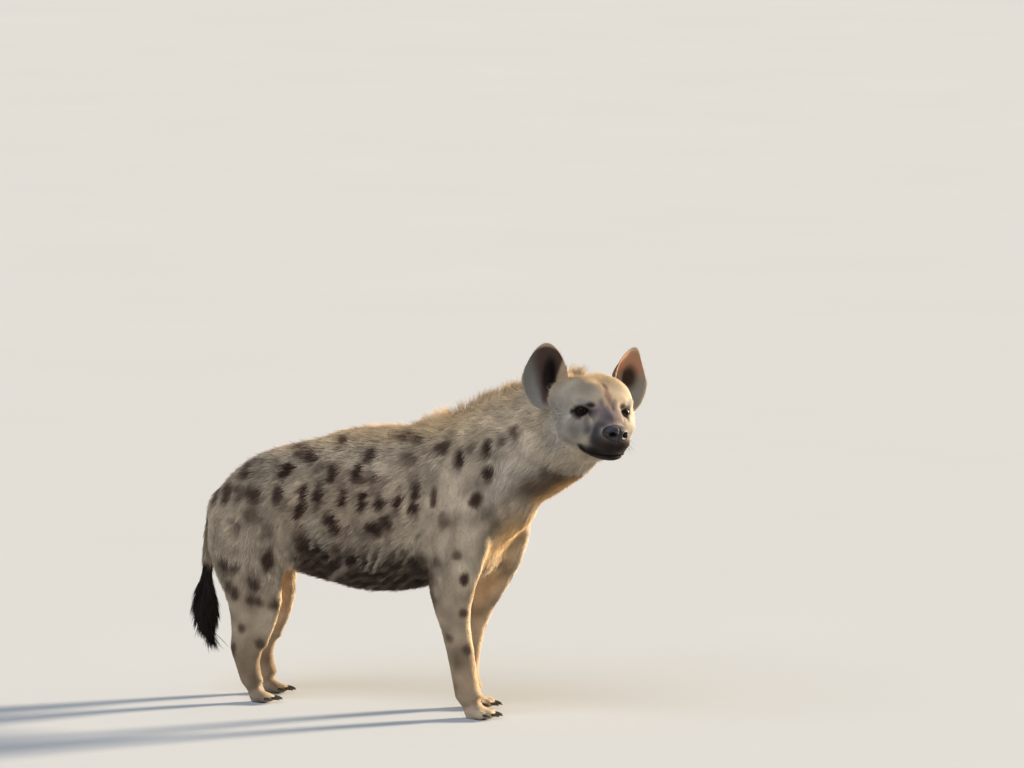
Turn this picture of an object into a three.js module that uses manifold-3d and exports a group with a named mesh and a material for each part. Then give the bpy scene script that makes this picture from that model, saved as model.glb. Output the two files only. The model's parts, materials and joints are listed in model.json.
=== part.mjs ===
// A standing spotted hyena at life size, as a still model in named pieces.
// Millimetres, +X forward, +Y to the animal's left, +Z up. The whole body is made as one solid out to the
// tips of the coat, and is then parted by thin cuts, so that every two neighbours meet at a narrow gap.
import * as THREE from "three";
import { LoftGeometry } from "three/addons/geometries/LoftGeometry.js";
import { mergeVertices } from "three/addons/utils/BufferGeometryUtils.js";
import Module from "manifold-3d";

const wasm = await Module();
wasm.setup();

// Gap between pieces that touch.
const GAP = 0.4;
const LEFT = 1;
const RIGHT = -1;
const SIDES = { left: LEFT, right: RIGHT };
const UP = new THREE.Vector3(0, 0, 1);
const ACROSS = new THREE.Vector3(0, 1, 0);

// Trunk, from the rump to the breast: x, height of its middle line, half width, half heights above and below.
const TRUNK = [
  [-466, 452, 34, 30, 34],
  [-430, 460, 76, 73, 90],
  [-375, 465, 102, 108, 120],
  [-300, 475, 114, 146, 145],
  [-215, 485, 118, 164, 163],
  [-120, 487, 127, 188, 192],
  [-25, 492, 134, 212, 213],
  [60, 494, 136, 215, 211],
  [140, 504, 131, 212, 202],
  [230, 525, 122, 214, 200],
  [310, 545, 112, 225, 188],
  [375, 545, 95, 190, 150],
  [418, 532, 62, 100, 92],
];
// Neck, from the withers to the nape: x, y, z of its middle line, half width, and half depths to the crest
// and to the throat.
const NECK = [
  [215, 0, 585, 100, 120, 120],
  [320, -1, 640, 106, 146, 158],
  [405, -5, 677, 100, 148, 170],
  [490, -14, 710, 93, 140, 156],
  [565, -30, 742, 92, 138, 139],
  [622, -52, 764, 90, 114, 116],
];
// Tail, from its root to the end of the dock, and the brush of hair at its end: x, y, z, half thickness.
const TAIL = [
  [-418, 0, 510, 34],
  [-449, 0, 462, 32],
  [-466, 0, 400, 27],
  [-475, 0, 335, 23],
  [-480, 0, 290, 21],
];
const TAIL_BRUSH = [
  [-478, 0, 330, 19],
  [-482, 0, 285, 29],
  [-484, 0, 235, 34],
  [-478, 0, 188, 29],
  [-466, 0, 145, 11],
];
const TAIL_CUT_HEIGHT = 315;

// Forelegs, from the shoulder blade to the wrist: x, distance from the middle plane, z, half width across,
// and half depths to the front and to the back.
const FORELEGS = {
  right: [
    [250, 62, 662, 28, 40, 46],
    [285, 82, 600, 40, 70, 80],
    [305, 90, 500, 46, 82, 104],
    [288, 95, 410, 46, 80, 92],
    [264, 94, 330, 42, 74, 72],
    [267, 92, 262, 37, 54, 53],
    [277, 89, 206, 34, 43, 42],
    [293, 87, 125, 33, 41, 40],
    [304, 87, 66, 33, 37, 37],
    [318, 87, 40, 31, 36, 30],
  ],
  left: [
    [262, 62, 662, 28, 40, 46],
    [300, 82, 600, 40, 74, 80],
    [322, 90, 500, 46, 80, 104],
    [302, 93, 410, 46, 82, 92],
    [268, 91, 330, 42, 68, 68],
    [245, 88, 262, 37, 50, 52],
    [229, 84, 200, 34, 41, 42],
    [216, 82, 125, 33, 39, 40],
    [216, 82, 66, 33, 36, 37],
    [230, 82, 40, 31, 36, 30],
  ],
};
const FORE_PAW = { right: { x: 338, y: 87 }, left: { x: 250, y: 82 } };

// Hind legs, from the hip to the foot, in the same columns.
const HINDLEG = [
  [-326, 60, 556, 38, 76, 70],
  [-326, 72, 470, 50, 120, 116],
  [-318, 80, 400, 54, 126, 124],
  [-312, 84, 340, 52, 110, 108],
  [-304, 85, 280, 45, 95, 88],
  [-306, 85, 230, 38, 90, 68],
  [-312, 84, 180, 33, 72, 60],
  [-324, 83, 145, 30, 58, 50],
  [-322, 83, 100, 29, 42, 32],
  [-310, 83, 60, 30, 34, 30],
  [-296, 83, 38, 27, 32, 24],
];
// The left hind leg stands further back: by all of the setback at the knee and below, and by less at the hip.
const LEFT_HINDLEG = { setback: 52, hipShare: 0.3, hip: 556, knee: 330 };
const HIND_PAW = { x: -276, y: 83 };

// Where the legs are parted.
const ELBOW_HEIGHT = 318;
const WRIST_HEIGHT = 74;
const KNEE_HEIGHT = 268;
const HOCK_HEIGHT = 150;

// The parts of a leg that lie against the trunk: middle of the round top, its half sizes, and its inner face.
const SHOULDER = { x: 288, z: 470, half: 112, tall: 165, inner: 50 };
const HAUNCH = { x: -322, z: 450, half: 140, tall: 138, inner: 30 };
// Below this height a leg is clear of the trunk, and takes everything from the middle plane outwards.
const LEG_CLEAR_HEIGHT = 285;
// Further from the middle plane than any part of a leg.
const BEYOND_SIDE = 200;

// Cuts across the neck and trunk: a point on the cut and the direction across it.
const NECK_HEAD_CUT = { at: [596, -42, 770], along: [0.84, -0.36, 0.4] };
const CHEST_NECK_CUT = { at: [372, 0, 640], along: [0.83, 0, 0.56] };
const BELLY_CHEST_CUT_X = 128;
const RUMP_BELLY_CUT_X = -166;

// Head frame: its origin midway between the eyes, turned to the animal's right, nose a little down.
const HEAD = { x: 692, y: -110, z: 781, yaw: -40, pitch: 4, roll: -5 };
// Cranium and face, from nape to nose, in the head's own frame: x, z, half width, and half heights above and
// below.
const SKULL = [
  [-142, 18, 62, 52, 64],
  [-112, 10, 94, 78, 86],
  [-66, 4, 107, 86, 94],
  [-26, -4, 91, 71, 94],
  [2, -13, 59, 55, 86],
  [24, -27, 42, 47, 73],
  [46, -40, 41, 43, 60],
  [66, -50, 42, 39, 48],
  [83, -60, 37, 30, 33],
];
// Lower jaw, in the same columns.
const JAW = [
  [-78, -58, 68, 40, 44],
  [-30, -78, 68, 36, 36],
  [10, -89, 58, 27, 29],
  [50, -92, 44, 22, 27],
  [80, -88, 33, 17, 24],
];
// Round masses on each side of the head: x, distance from the middle plane, z, and the three half sizes.
const HEAD_MASSES = {
  cheek: [-56, 60, -46, 78, 42, 54],
  cheekbone: [-42, 65, -22, 54, 39, 38],
  earRoot: [-98, 78, 14, 38, 34, 48],
  mouthCorner: [4, 38, -62, 50, 30, 32],
  lip: [42, 25, -61, 55, 27, 29],
};
// Eyeballs, which look outwards by the gaze angle, and the hollow in front of each between its lids.
const EYE = { x: -9, y: 54, z: 1, radius: 16, gaze: 33 };
const EYE_HOLLOW = { ahead: 20, deep: 12, long: 31, high: 18 };
const NOSE_PAD = { x: 80, z: -38, long: 28, half: 34, tall: 25 };
// The mouth line from its corner to the front of the lips, and how far the block under it reaches.
const JAW_CUT = { backX: 2, frontX: 104, backZ: -90, frontZ: -91, half: 110, deep: 80, ahead: 60 };

// Ear: a thin dish. Its middle, its axes in the head frame, its half sizes and the depth of its bowl.
const EAR = {
  middle: [-112, 115, 65],
  up: [-0.04, 0.05, 1],
  facing: [0.92, 0.39, 0.06],
  halfWidth: 61,
  halfHeight: 84,
  bowl: 34,
  halfThickness: 3.2,
  rimPower: 0.4,
  lowShift: 0.08,
  tipPull: 0.15,
};

// Paws: a pad, four toes and a blunt claw on each toe, all in the paw's own frame.
const PAWS = {
  fore: {
    pad: [-10, 16, 36, 33, 22],
    toeX: [12, 25, 25, 12],
    toeY: [-27, -9.5, 9.5, 27],
    toe: [25, 12.5, 15.5],
  },
  hind: {
    pad: [-10, 15, 32, 27, 20],
    toeX: [10, 21, 21, 10],
    toeY: [-22, -8, 8, 22],
    toe: [22, 10.5, 13.5],
  },
};
const OUTER_TOE = 20;
const TOE_SPLAY = 9;
const SOLE_SINK = 1.5;
const CLAW = { root: 7, length: 18, rise: 14, drop: 6, flat: 0.85, radii: [4, 3.7, 1.7] };

// Numbers of facets round and along each kind of shape.
const FACETS = {
  trunk: { around: 18, along: 15, domed: 2 },
  neck: { around: 18, along: 7, domed: 1 },
  leg: { around: 10, along: 11, domed: 1 },
  tail: { around: 7, along: 6, domed: 1 },
  head: { around: 18, along: 12, domed: 1 },
  jaw: { around: 12, along: 4, domed: 1 },
  mass: { around: 9, along: 5 },
  hollow: { around: 8, along: 5 },
  nose: { around: 10, along: 7 },
  paw: { around: 8, along: 4 },
  eye: { around: 10, along: 7 },
  ear: { around: 14, along: 8 },
  toe: { around: 6, along: 3 },
  claw: { around: 4, along: 2, domed: 1 },
  arch: 8,
};

// How square the sections are, from 2 for an oval, and how far the domed ends bulge for their radius.
const SQUARENESS = { trunk: 2.1, head: 2.25, jaw: 2.2 };
const BODY_DOME = 0.45;
const LEG_DOME = 0.3;
const DOME_RIM = 0.35;

const COAT = { color: 0x9f9383, roughness: 0.9, metalness: 0 };
const DARK_COAT = { color: 0x3b322c, roughness: 0.9, metalness: 0 };
const BARE_SKIN = { color: 0x35302f, roughness: 0.6, metalness: 0 };
const GLOSSY_EYE = { color: 0x1a110c, roughness: 0.08, metalness: 0 };
const HORN = { color: 0x2c2622, roughness: 0.5, metalness: 0 };

function toSolid(geometry) {
  const bare = new THREE.BufferGeometry();
  bare.setAttribute("position", geometry.getAttribute("position"));
  bare.setIndex(geometry.index);
  const merged = mergeVertices(bare, 1e-3);
  const made = new wasm.Mesh({
    numProp: 3,
    vertProperties: merged.attributes.position.array,
    triVerts: new Uint32Array(merged.index.array),
  });
  return new wasm.Manifold(made);
}

function toGeometry(solid) {
  const mesh = solid.getMesh();
  const geometry = new THREE.BufferGeometry();
  geometry.setAttribute("position", new THREE.BufferAttribute(mesh.vertProperties, 3));
  geometry.setIndex(new THREE.BufferAttribute(mesh.triVerts, 1));
  const faceted = geometry.toNonIndexed();
  faceted.computeVertexNormals();
  return faceted;
}

const union = (solids) => solids.reduce((all, next) => all.add(next));

// One ring across a loft: an oval with its own half height above and below, squarer as power rises above 2.
function ring(middle, sideways, upwards, [wide, above, below], power, around) {
  return Array.from({ length: around }, (_, i) => {
    const turn = (2 * Math.PI * i) / around;
    const bulge = (value) => Math.sign(value) * Math.abs(value) ** (2 / power);
    const height = Math.sin(turn) > 0 ? above : below;
    return middle
      .clone()
      .addScaledVector(sideways, wide * bulge(Math.cos(turn)))
      .addScaledVector(upwards, height * bulge(Math.sin(turn)));
  });
}

// A smooth closed form through stations [x, y, z, half width, half height above, half height below], with
// domed ends. Rings stand across the middle line, and grow makes the form that much fatter all round.
function loft(stations, { around, along, domed }, { grow = 0, power = 2, dome = BODY_DOME } = {}) {
  const smooth = (points) => new THREE.CatmullRomCurve3(points, false, "catmullrom");
  const line = smooth(stations.map(([x, y, z]) => new THREE.Vector3(x, y, z)));
  const sizes = smooth(stations.map(([, , , wide, above, below]) => new THREE.Vector3(wide, above, below)));
  const rings = [];
  const addRing = (t, shrink, shift) => {
    const ahead = line.getTangent(t);
    const sideways = ACROSS.clone().addScaledVector(ahead, -ACROSS.dot(ahead)).normalize();
    const upwards = ahead.clone().cross(sideways);
    const size = sizes.getPoint(t).toArray();
    const radius = (size[1] + size[2]) / 2;
    const middle = line.getPoint(t).addScaledVector(ahead, shift * (radius * dome + grow));
    rings.push(ring(middle, sideways, upwards, size.map((s) => (s + grow) * shrink), power, around));
  };
  const domeTurns = Array.from(
    { length: domed },
    (_, i) => ((Math.PI / 2) * (domed - i)) / (domed + DOME_RIM),
  );
  domeTurns.forEach((turn) => addRing(0, Math.cos(turn), -Math.sin(turn)));
  for (let i = 0; i <= along; i += 1) addRing(i / along, 1, 0);
  domeTurns.reverse().forEach((turn) => addRing(1, Math.cos(turn), Math.sin(turn)));
  return toSolid(new LoftGeometry(rings, { capStart: true, capEnd: true }));
}

// An ellipsoid, stretched from a sphere and turned by the given matrix.
function ellipsoid([x, y, z], [long, wide, tall], { around, along }, { grow = 0, turned = null } = {}) {
  const geometry = new THREE.SphereGeometry(1, around, along);
  geometry.rotateX(Math.PI / 2);
  geometry.scale(long + grow, wide + grow, tall + grow);
  if (turned) geometry.applyMatrix4(turned);
  geometry.translate(x, y, z);
  return toSolid(geometry);
}

const turnZ = (degrees) => new THREE.Matrix4().makeRotationZ(THREE.MathUtils.degToRad(degrees));

// Both parts of a solid on the two sides of a plane, with the gap between them: [beyond, before].
function partAt(solid, at, along) {
  const normal = new THREE.Vector3(...along).normalize();
  const offset = normal.dot(new THREE.Vector3(...at));
  return [
    solid.trimByPlane(normal.toArray(), offset + GAP / 2),
    solid.trimByPlane(normal.clone().negate().toArray(), GAP / 2 - offset),
  ];
}

const partAtHeight = (solid, height) => partAt(solid, [0, 0, height], UP.toArray());
const partAtX = (solid, x) => partAt(solid, [x, 0, 0], [1, 0, 0]);

function headMatrix() {
  const turn = new THREE.Euler(
    THREE.MathUtils.degToRad(HEAD.roll),
    THREE.MathUtils.degToRad(HEAD.pitch),
    THREE.MathUtils.degToRad(HEAD.yaw),
    "ZYX",
  );
  const place = new THREE.Vector3(HEAD.x, HEAD.y, HEAD.z);
  const life = new THREE.Vector3(1, 1, 1);
  return new THREE.Matrix4().compose(place, new THREE.Quaternion().setFromEuler(turn), life);
}

const HEAD_TO_BODY = headMatrix();

const middleStations = (rows) => rows.map(([x, z, wide, above, below]) => [x, 0, z, wide, above, below]);
const trunk = (grow) => loft(middleStations(TRUNK), FACETS.trunk, { grow, power: SQUARENESS.trunk });
const neck = (grow) => loft(NECK, FACETS.neck, { grow });

function legForm(stations, side, grow) {
  const placed = stations.map(([x, y, ...rest]) => [x, side * y, ...rest]);
  return loft(placed, FACETS.leg, { grow, dome: LEG_DOME });
}

// How far back a hind leg stands at a height.
function hindSetback(name, z) {
  const { setback, hipShare, hip, knee } = LEFT_HINDLEG;
  const raised = THREE.MathUtils.clamp((z - knee) / (hip - knee), 0, 1);
  return name === "left" ? setback * THREE.MathUtils.lerp(1, hipShare, raised) : 0;
}

function hindLegForm(name, grow) {
  const stations = HINDLEG.map(([x, y, z, ...sizes]) => [x - hindSetback(name, z), y, z, ...sizes]);
  return legForm(stations, SIDES[name], grow);
}

// A paw on the floor, whose sole the floor plane cuts flat.
function pawForm({ pad, toeX, toeY, toe }, x, y, grow) {
  const [padX, padZ, long, wide, tall] = pad;
  const heel = ellipsoid([x + padX, y, padZ], [long, wide, tall], FACETS.paw, { grow });
  return union([heel, ...toeX.map((_, i) => toeForm({ toeX, toeY, toe }, i, x, y, grow))]);
}

// The outer toes turn outwards.
const splay = (toeY) => (Math.abs(toeY) > OUTER_TOE ? Math.sign(toeY) * TOE_SPLAY : 0);

// One toe, sunk a little so that its underside is cut flat.
function toeForm({ toeX, toeY, toe }, i, x, y, grow) {
  const middle = [x + toeX[i], y + toeY[i], toe[2] - SOLE_SINK];
  return ellipsoid(middle, toe, FACETS.toe, { grow, turned: turnZ(splay(toeY[i])) });
}

const forePaw = (name, grow) =>
  pawForm(PAWS.fore, FORE_PAW[name].x, SIDES[name] * FORE_PAW[name].y, grow);
const hindPaw = (name, grow) =>
  pawForm(PAWS.hind, HIND_PAW.x - hindSetback(name, 0), SIDES[name] * HIND_PAW.y, grow);

// The head in its own frame, without the ears: skull, jaw and the round masses on each side.
function headForm(grow) {
  const masses = Object.values(HEAD_MASSES).flatMap(([x, y, z, ...half]) =>
    Object.values(SIDES).map((side) => ellipsoid([x, side * y, z], half, FACETS.mass, { grow })),
  );
  return union([
    loft(middleStations(SKULL), FACETS.head, { grow, power: SQUARENESS.head }),
    loft(middleStations(JAW), FACETS.jaw, { grow, power: SQUARENESS.jaw }),
    ...masses,
  ]);
}

// All the flesh as one solid, in the body frame, standing on z = 0.
function fleshForm(grow) {
  const limbs = Object.keys(SIDES).flatMap((name) => [
    legForm(FORELEGS[name], SIDES[name], grow),
    forePaw(name, grow),
    hindLegForm(name, grow),
    hindPaw(name, grow),
  ]);
  const all = union([trunk(grow), neck(grow), headForm(grow).transform(HEAD_TO_BODY.elements), ...limbs]);
  return all.trimByPlane(UP.toArray(), 0);
}

// A slab with the given outline in X and Z, from its near to its far distance on one side of the body.
function sideSlab(outline, side, near, far) {
  const slab = new THREE.ExtrudeGeometry(outline, {
    depth: far - near,
    bevelEnabled: false,
    curveSegments: FACETS.arch,
  });
  slab.rotateX(Math.PI / 2);
  slab.translate(0, side === LEFT ? far : -near, 0);
  return toSolid(slab);
}

// The space that a leg takes out of the body: an arched slab against the trunk, and one below it that starts
// at the middle plane and slopes forward, so that it holds the paw.
function legSpace({ x, z, half, tall, inner }, side, setback, grow) {
  const front = x - setback + half + grow;
  const back = x - setback - half - grow;
  const arch = new THREE.Shape();
  arch.moveTo(back, -grow);
  arch.lineTo(front, -grow);
  arch.lineTo(front, z);
  arch.absellipse(x - setback, z, half + grow, tall + grow, 0, Math.PI);
  arch.closePath();
  const low = new THREE.Shape();
  low.moveTo(back, -grow);
  low.lineTo(front + LEG_CLEAR_HEIGHT, -grow);
  low.lineTo(front, LEG_CLEAR_HEIGHT);
  low.lineTo(back, LEG_CLEAR_HEIGHT);
  low.closePath();
  return sideSlab(arch, side, inner - grow, BEYOND_SIDE).add(sideSlab(low, side, GAP, BEYOND_SIDE));
}

function partLeg(body, space, side, setback, heights) {
  const whole = body.intersect(legSpace(space, side, setback, 0));
  const rest = body.subtract(legSpace(space, side, setback, GAP));
  const [top, below] = partAtHeight(whole, heights[0]);
  const [middle, foot] = partAtHeight(below, heights[1]);
  return { rest, top, middle, foot };
}

// A claw in its own frame, growing forward from the toe and curving down to a blunt end.
function clawForm() {
  const last = CLAW.radii.length - 1;
  const stations = CLAW.radii.map((radius, i) => {
    const t = i / last;
    return [CLAW.length * t, 0, CLAW.rise - CLAW.drop * t * t, radius * CLAW.flat, radius, radius];
  });
  return loft(stations, FACETS.claw);
}

// The four claws of a paw, each as a solid in the body frame, cut where it leaves its toe.
function clawsOf(paw, x, y) {
  return paw.toeX.map((ahead, i) => {
    const place = new THREE.Matrix4()
      .makeTranslation(x + ahead, y + paw.toeY[i], 0)
      .multiply(turnZ(splay(paw.toeY[i])))
      .multiply(new THREE.Matrix4().makeTranslation(paw.toe[0] - CLAW.root, 0, 0));
    return clawForm().transform(place.elements).subtract(toeForm(paw, i, x, y, GAP));
  });
}

function eyeCentre(side) {
  return [EYE.x, side * EYE.y, EYE.z];
}

// Eyeball, grown where it cuts its socket, and the hollow in front of it.
function eyeBall(side, grow) {
  const half = EYE.radius + grow;
  return ellipsoid(eyeCentre(side), [half, half, half], FACETS.eye);
}

function eyeHollow(side) {
  const turned = turnZ(side * EYE.gaze);
  const ahead = new THREE.Vector3(EYE_HOLLOW.ahead, 0, 0).applyMatrix4(turned);
  const [x, y, z] = eyeCentre(side);
  const { deep, long, high } = EYE_HOLLOW;
  return ellipsoid([x + ahead.x, y + ahead.y, z], [deep, long, high], FACETS.hollow, { turned });
}

function nosePad(grow) {
  const half = [NOSE_PAD.long, NOSE_PAD.half, NOSE_PAD.tall];
  return ellipsoid([NOSE_PAD.x, 0, NOSE_PAD.z], half, FACETS.nose, { grow });
}

// A dish whose rim faces outward and forward: a flattened sphere, bowled back in the middle, wider low down
// and drawn to a round tip.
function earForm(side) {
  const geometry = new THREE.SphereGeometry(1, FACETS.ear.around, FACETS.ear.along);
  const mirrored = ([x, y, z]) => new THREE.Vector3(x, side * y, z);
  const facing = mirrored(EAR.facing).normalize();
  const up = mirrored(EAR.up);
  up.addScaledVector(facing, -up.dot(facing)).normalize();
  const outward = up.clone().cross(facing).multiplyScalar(side);
  const points = geometry.attributes.position;
  const point = new THREE.Vector3();
  for (let i = 0; i < points.count; i += 1) {
    point.fromBufferAttribute(points, i);
    const height = point.y - EAR.lowShift * (1 - point.y * point.y);
    const width = point.x * (1 - EAR.tipPull * Math.max(point.y, 0));
    const bowl = 1 - width * width - height * height;
    const thick = Math.sign(point.z) * Math.abs(point.z) ** EAR.rimPower;
    const placed = mirrored(EAR.middle)
      .addScaledVector(up, height * EAR.halfHeight)
      .addScaledVector(outward, width * EAR.halfWidth)
      .addScaledVector(facing, thick * EAR.halfThickness - Math.max(bowl, 0) * EAR.bowl);
    points.setXYZ(i, ...placed.toArray());
  }
  return side === LEFT ? toSolid(geometry) : toSolid(turnedInsideOut(geometry));
}

// A mirrored geometry with its faces turned to point outwards again.
function turnedInsideOut(geometry) {
  const index = geometry.index.array;
  for (let i = 0; i < index.length; i += 3) [index[i], index[i + 1]] = [index[i + 1], index[i]];
  return geometry;
}

// The block under the mouth line that holds the lower jaw, in the head frame.
function jawSpace(grow) {
  const { backX, frontX, backZ, frontZ, half, deep, ahead } = JAW_CUT;
  const outline = new THREE.Shape();
  const slope = (frontZ - backZ) / (frontX - backX);
  const reach = frontX + ahead;
  outline.moveTo(backX - grow, backZ + grow);
  outline.lineTo(backX - grow, backZ - deep);
  outline.lineTo(reach, backZ - deep);
  outline.lineTo(reach, backZ + slope * (reach - backX) + grow);
  outline.closePath();
  const slab = new THREE.ExtrudeGeometry(outline, { depth: 2 * half, bevelEnabled: false });
  slab.rotateX(Math.PI / 2);
  slab.translate(0, half, 0);
  return toSolid(slab).transform(HEAD_TO_BODY.elements);
}

const tubeStations = (rows) => rows.map(([x, y, z, radius]) => [x, y, z, radius, radius, radius]);

function tailForm() {
  return loft(tubeStations(TAIL), FACETS.tail).add(loft(tubeStations(TAIL_BRUSH), FACETS.tail));
}

const pieces = new Map();
const keep = (name, solid, look) => pieces.set(name, { solid, look });

function makeHead(headFlesh) {
  const inBody = (solid) => solid.transform(HEAD_TO_BODY.elements);
  let head = headFlesh.subtract(inBody(nosePad(GAP)));
  for (const side of Object.values(SIDES)) {
    head = head.subtract(inBody(eyeHollow(side))).subtract(inBody(eyeBall(side, GAP)));
  }
  keep("head", head.subtract(jawSpace(GAP)), COAT);
  keep("lower_jaw", head.intersect(jawSpace(0)), DARK_COAT);
  keep("nose", inBody(nosePad(0)), BARE_SKIN);
  const around = fleshForm(GAP);
  for (const [name, side] of Object.entries(SIDES)) {
    keep("eye_" + name, inBody(eyeBall(side, 0)), GLOSSY_EYE);
    keep("ear_" + name, largest(inBody(earForm(side)).subtract(around)), COAT);
  }
}

// The largest body of a solid that a cut has left in several.
function largest(solid) {
  return solid.decompose().reduce((best, next) => (next.volume() > best.volume() ? next : best));
}

function makeLegs(body) {
  let rest = body;
  for (const [name, side] of Object.entries(SIDES)) {
    const fore = partLeg(rest, SHOULDER, side, 0, [ELBOW_HEIGHT, WRIST_HEIGHT]);
    const hind = partLeg(fore.rest, HAUNCH, side, hindSetback(name, HAUNCH.z), [KNEE_HEIGHT, HOCK_HEIGHT]);
    const hindPawX = HIND_PAW.x - hindSetback(name, 0);
    rest = hind.rest;
    keep("foreleg_" + name + "_upper", fore.top, COAT);
    keep("foreleg_" + name + "_lower", fore.middle, COAT);
    keepPaw("foreleg_" + name, "paw", fore.foot, PAWS.fore, FORE_PAW[name].x, side * FORE_PAW[name].y);
    keep("hindleg_" + name + "_thigh", hind.top, COAT);
    keep("hindleg_" + name + "_shank", hind.middle, COAT);
    keepPaw("hindleg_" + name, "foot", hind.foot, PAWS.hind, hindPawX, side * HIND_PAW.y);
  }
  return rest;
}

function keepPaw(leg, foot, solid, paw, x, y) {
  keep(leg + "_" + foot, solid, COAT);
  clawsOf(paw, x, y).forEach((claw, i) => keep(leg + "_claw_" + (i + 1), claw, HORN));
}

function makeTrunk(body) {
  const [headFlesh, withoutHead] = partAt(body, NECK_HEAD_CUT.at, NECK_HEAD_CUT.along);
  const [neckFlesh, barrel] = partAt(withoutHead, CHEST_NECK_CUT.at, CHEST_NECK_CUT.along);
  const [chest, behind] = partAtX(barrel, BELLY_CHEST_CUT_X);
  const [belly, rump] = partAtX(behind, RUMP_BELLY_CUT_X);
  keep("neck", neckFlesh, COAT);
  keep("chest", chest, COAT);
  keep("belly", belly, DARK_COAT);
  keep("rump", rump, COAT);
  return headFlesh;
}

function makeTail() {
  const free = tailForm().subtract(fleshForm(GAP));
  const [dock, brush] = partAtHeight(free, TAIL_CUT_HEIGHT);
  keep("tail", largest(dock), COAT);
  keep("tail_tuft", largest(brush), DARK_COAT);
}

makeHead(makeTrunk(makeLegs(fleshForm(0))));
makeTail();

// The part stands on its own origin: the middle of its floor outline.
const hyena = new THREE.Group();
for (const [name, { solid, look }] of pieces) {
  const mesh = new THREE.Mesh(toGeometry(solid), new THREE.MeshStandardMaterial(look));
  mesh.name = name;
  hyena.add(mesh);
}
const extent = new THREE.Box3().setFromObject(hyena);
const middle = extent.getCenter(new THREE.Vector3());
hyena.position.set(-middle.x, -middle.y, -extent.min.z);

export default hyena;
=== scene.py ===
"""A life-size spotted hyena, standing: one skin over the whole body with its coat in fine tufts, and the
eyes, lid rims, nose leather, whiskers and claws as pieces of their own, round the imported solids."""

import json
import logging
import math
from dataclasses import dataclass
from enum import Enum

import bmesh
import bpy
import numpy as np
from bpy.types import ID, Material, Mesh, Node, NodeSocket, Object
from mathutils import Matrix, Vector
from mathutils.bvhtree import BVHTree
from mathutils.kdtree import KDTree

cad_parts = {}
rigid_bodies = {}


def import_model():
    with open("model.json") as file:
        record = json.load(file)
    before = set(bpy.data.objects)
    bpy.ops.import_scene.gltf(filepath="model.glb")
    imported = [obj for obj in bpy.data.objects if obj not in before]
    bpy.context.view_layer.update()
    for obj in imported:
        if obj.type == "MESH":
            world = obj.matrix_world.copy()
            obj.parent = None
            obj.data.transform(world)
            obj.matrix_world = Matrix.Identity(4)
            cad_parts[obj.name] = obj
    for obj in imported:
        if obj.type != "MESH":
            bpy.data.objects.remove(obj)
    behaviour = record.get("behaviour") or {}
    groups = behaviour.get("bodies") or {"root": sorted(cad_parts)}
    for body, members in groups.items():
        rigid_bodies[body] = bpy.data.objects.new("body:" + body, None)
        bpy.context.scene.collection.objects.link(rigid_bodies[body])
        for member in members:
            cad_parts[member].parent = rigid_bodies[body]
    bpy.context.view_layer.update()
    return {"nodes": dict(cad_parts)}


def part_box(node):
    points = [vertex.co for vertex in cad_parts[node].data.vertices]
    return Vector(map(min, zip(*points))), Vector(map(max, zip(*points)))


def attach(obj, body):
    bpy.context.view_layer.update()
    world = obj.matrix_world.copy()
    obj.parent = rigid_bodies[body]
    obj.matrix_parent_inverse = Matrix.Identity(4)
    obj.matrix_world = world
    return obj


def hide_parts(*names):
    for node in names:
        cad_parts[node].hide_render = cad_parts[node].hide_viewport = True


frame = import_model()
LOG = logging.getLogger("hyena")
BODY = "root"
MM = 0.001
TINT, STRAND, BAKE_MAP = "tint", "strand", "OFBake"
SEED = 51
Array = np.ndarray
Form = bmesh.types.BMesh
Verts = list[bmesh.types.BMVert]
Items = bpy.types.bpy_prop_collection
Triple = tuple[float, float, float]


def ramp(low: float, high: float, values: Array) -> Array:
    """Rises from 0 at low to 1 at high, with no corner. High may be the smaller one."""
    t = np.clip((values - low) / (high - low), 0.0, 1.0)
    return t * t * (3 - 2 * t)


def bump(values: Array, middle: float, reach: float) -> Array:
    """A rounded hill of height 1 round the middle."""
    return np.exp(-(((values - middle) / reach) ** 2))


def unit(vectors: Array) -> Array:
    """The same directions at length 1."""
    return vectors / np.maximum(np.linalg.norm(vectors, axis=-1, keepdims=True), 1e-12)


def linear(*colour: float) -> Array:
    """A colour given as seen, from 0 to 255, as the light it stands for."""
    c = np.array(colour, float) / 255
    return np.where(c <= 0.04045, c / 12.92, ((c + 0.055) / 1.055) ** 2.4)


class Ripple:
    """Smooth seeded noise of about -1 to 1: a sum of waves in random directions."""

    WAVES = 20

    def __init__(self, seed: int, size: float) -> None:
        """Draws the waves.

        Args:
            seed: Of the random draw.
            size: Rough length of a wave, in metres.
        """
        draw = np.random.default_rng(seed)
        self.waves = unit(draw.normal(size=(self.WAVES, 3))) * (2 * math.pi / size)
        self.waves *= draw.uniform(0.6, 1.6, (self.WAVES, 1))
        self.starts = draw.uniform(0, 2 * math.pi, self.WAVES)

    def __call__(self, points: Array) -> Array:
        """The noise at each point."""
        return np.sin(points @ self.waves.T + self.starts).sum(1) / math.sqrt(self.WAVES / 2)


@dataclass(frozen=True)
class Axes:
    """A frame of its own on the animal, whose points are in millimetres."""

    origin: Array
    turn: Array

    def place(self, points: Array) -> Array:
        """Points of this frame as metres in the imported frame."""
        return self.origin + np.asarray(points, float) @ self.turn.T * MM

    def read(self, places: Array) -> Array:
        """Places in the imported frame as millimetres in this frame."""
        return (places - self.origin) @ self.turn / MM

    def aim(self, directions: Array) -> Array:
        """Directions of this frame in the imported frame."""
        return np.asarray(directions, float) @ self.turn.T


def box_middle(node: str) -> Array:
    """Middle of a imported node's box."""
    low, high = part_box(node)
    return np.array((low + high) / 2)


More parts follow.
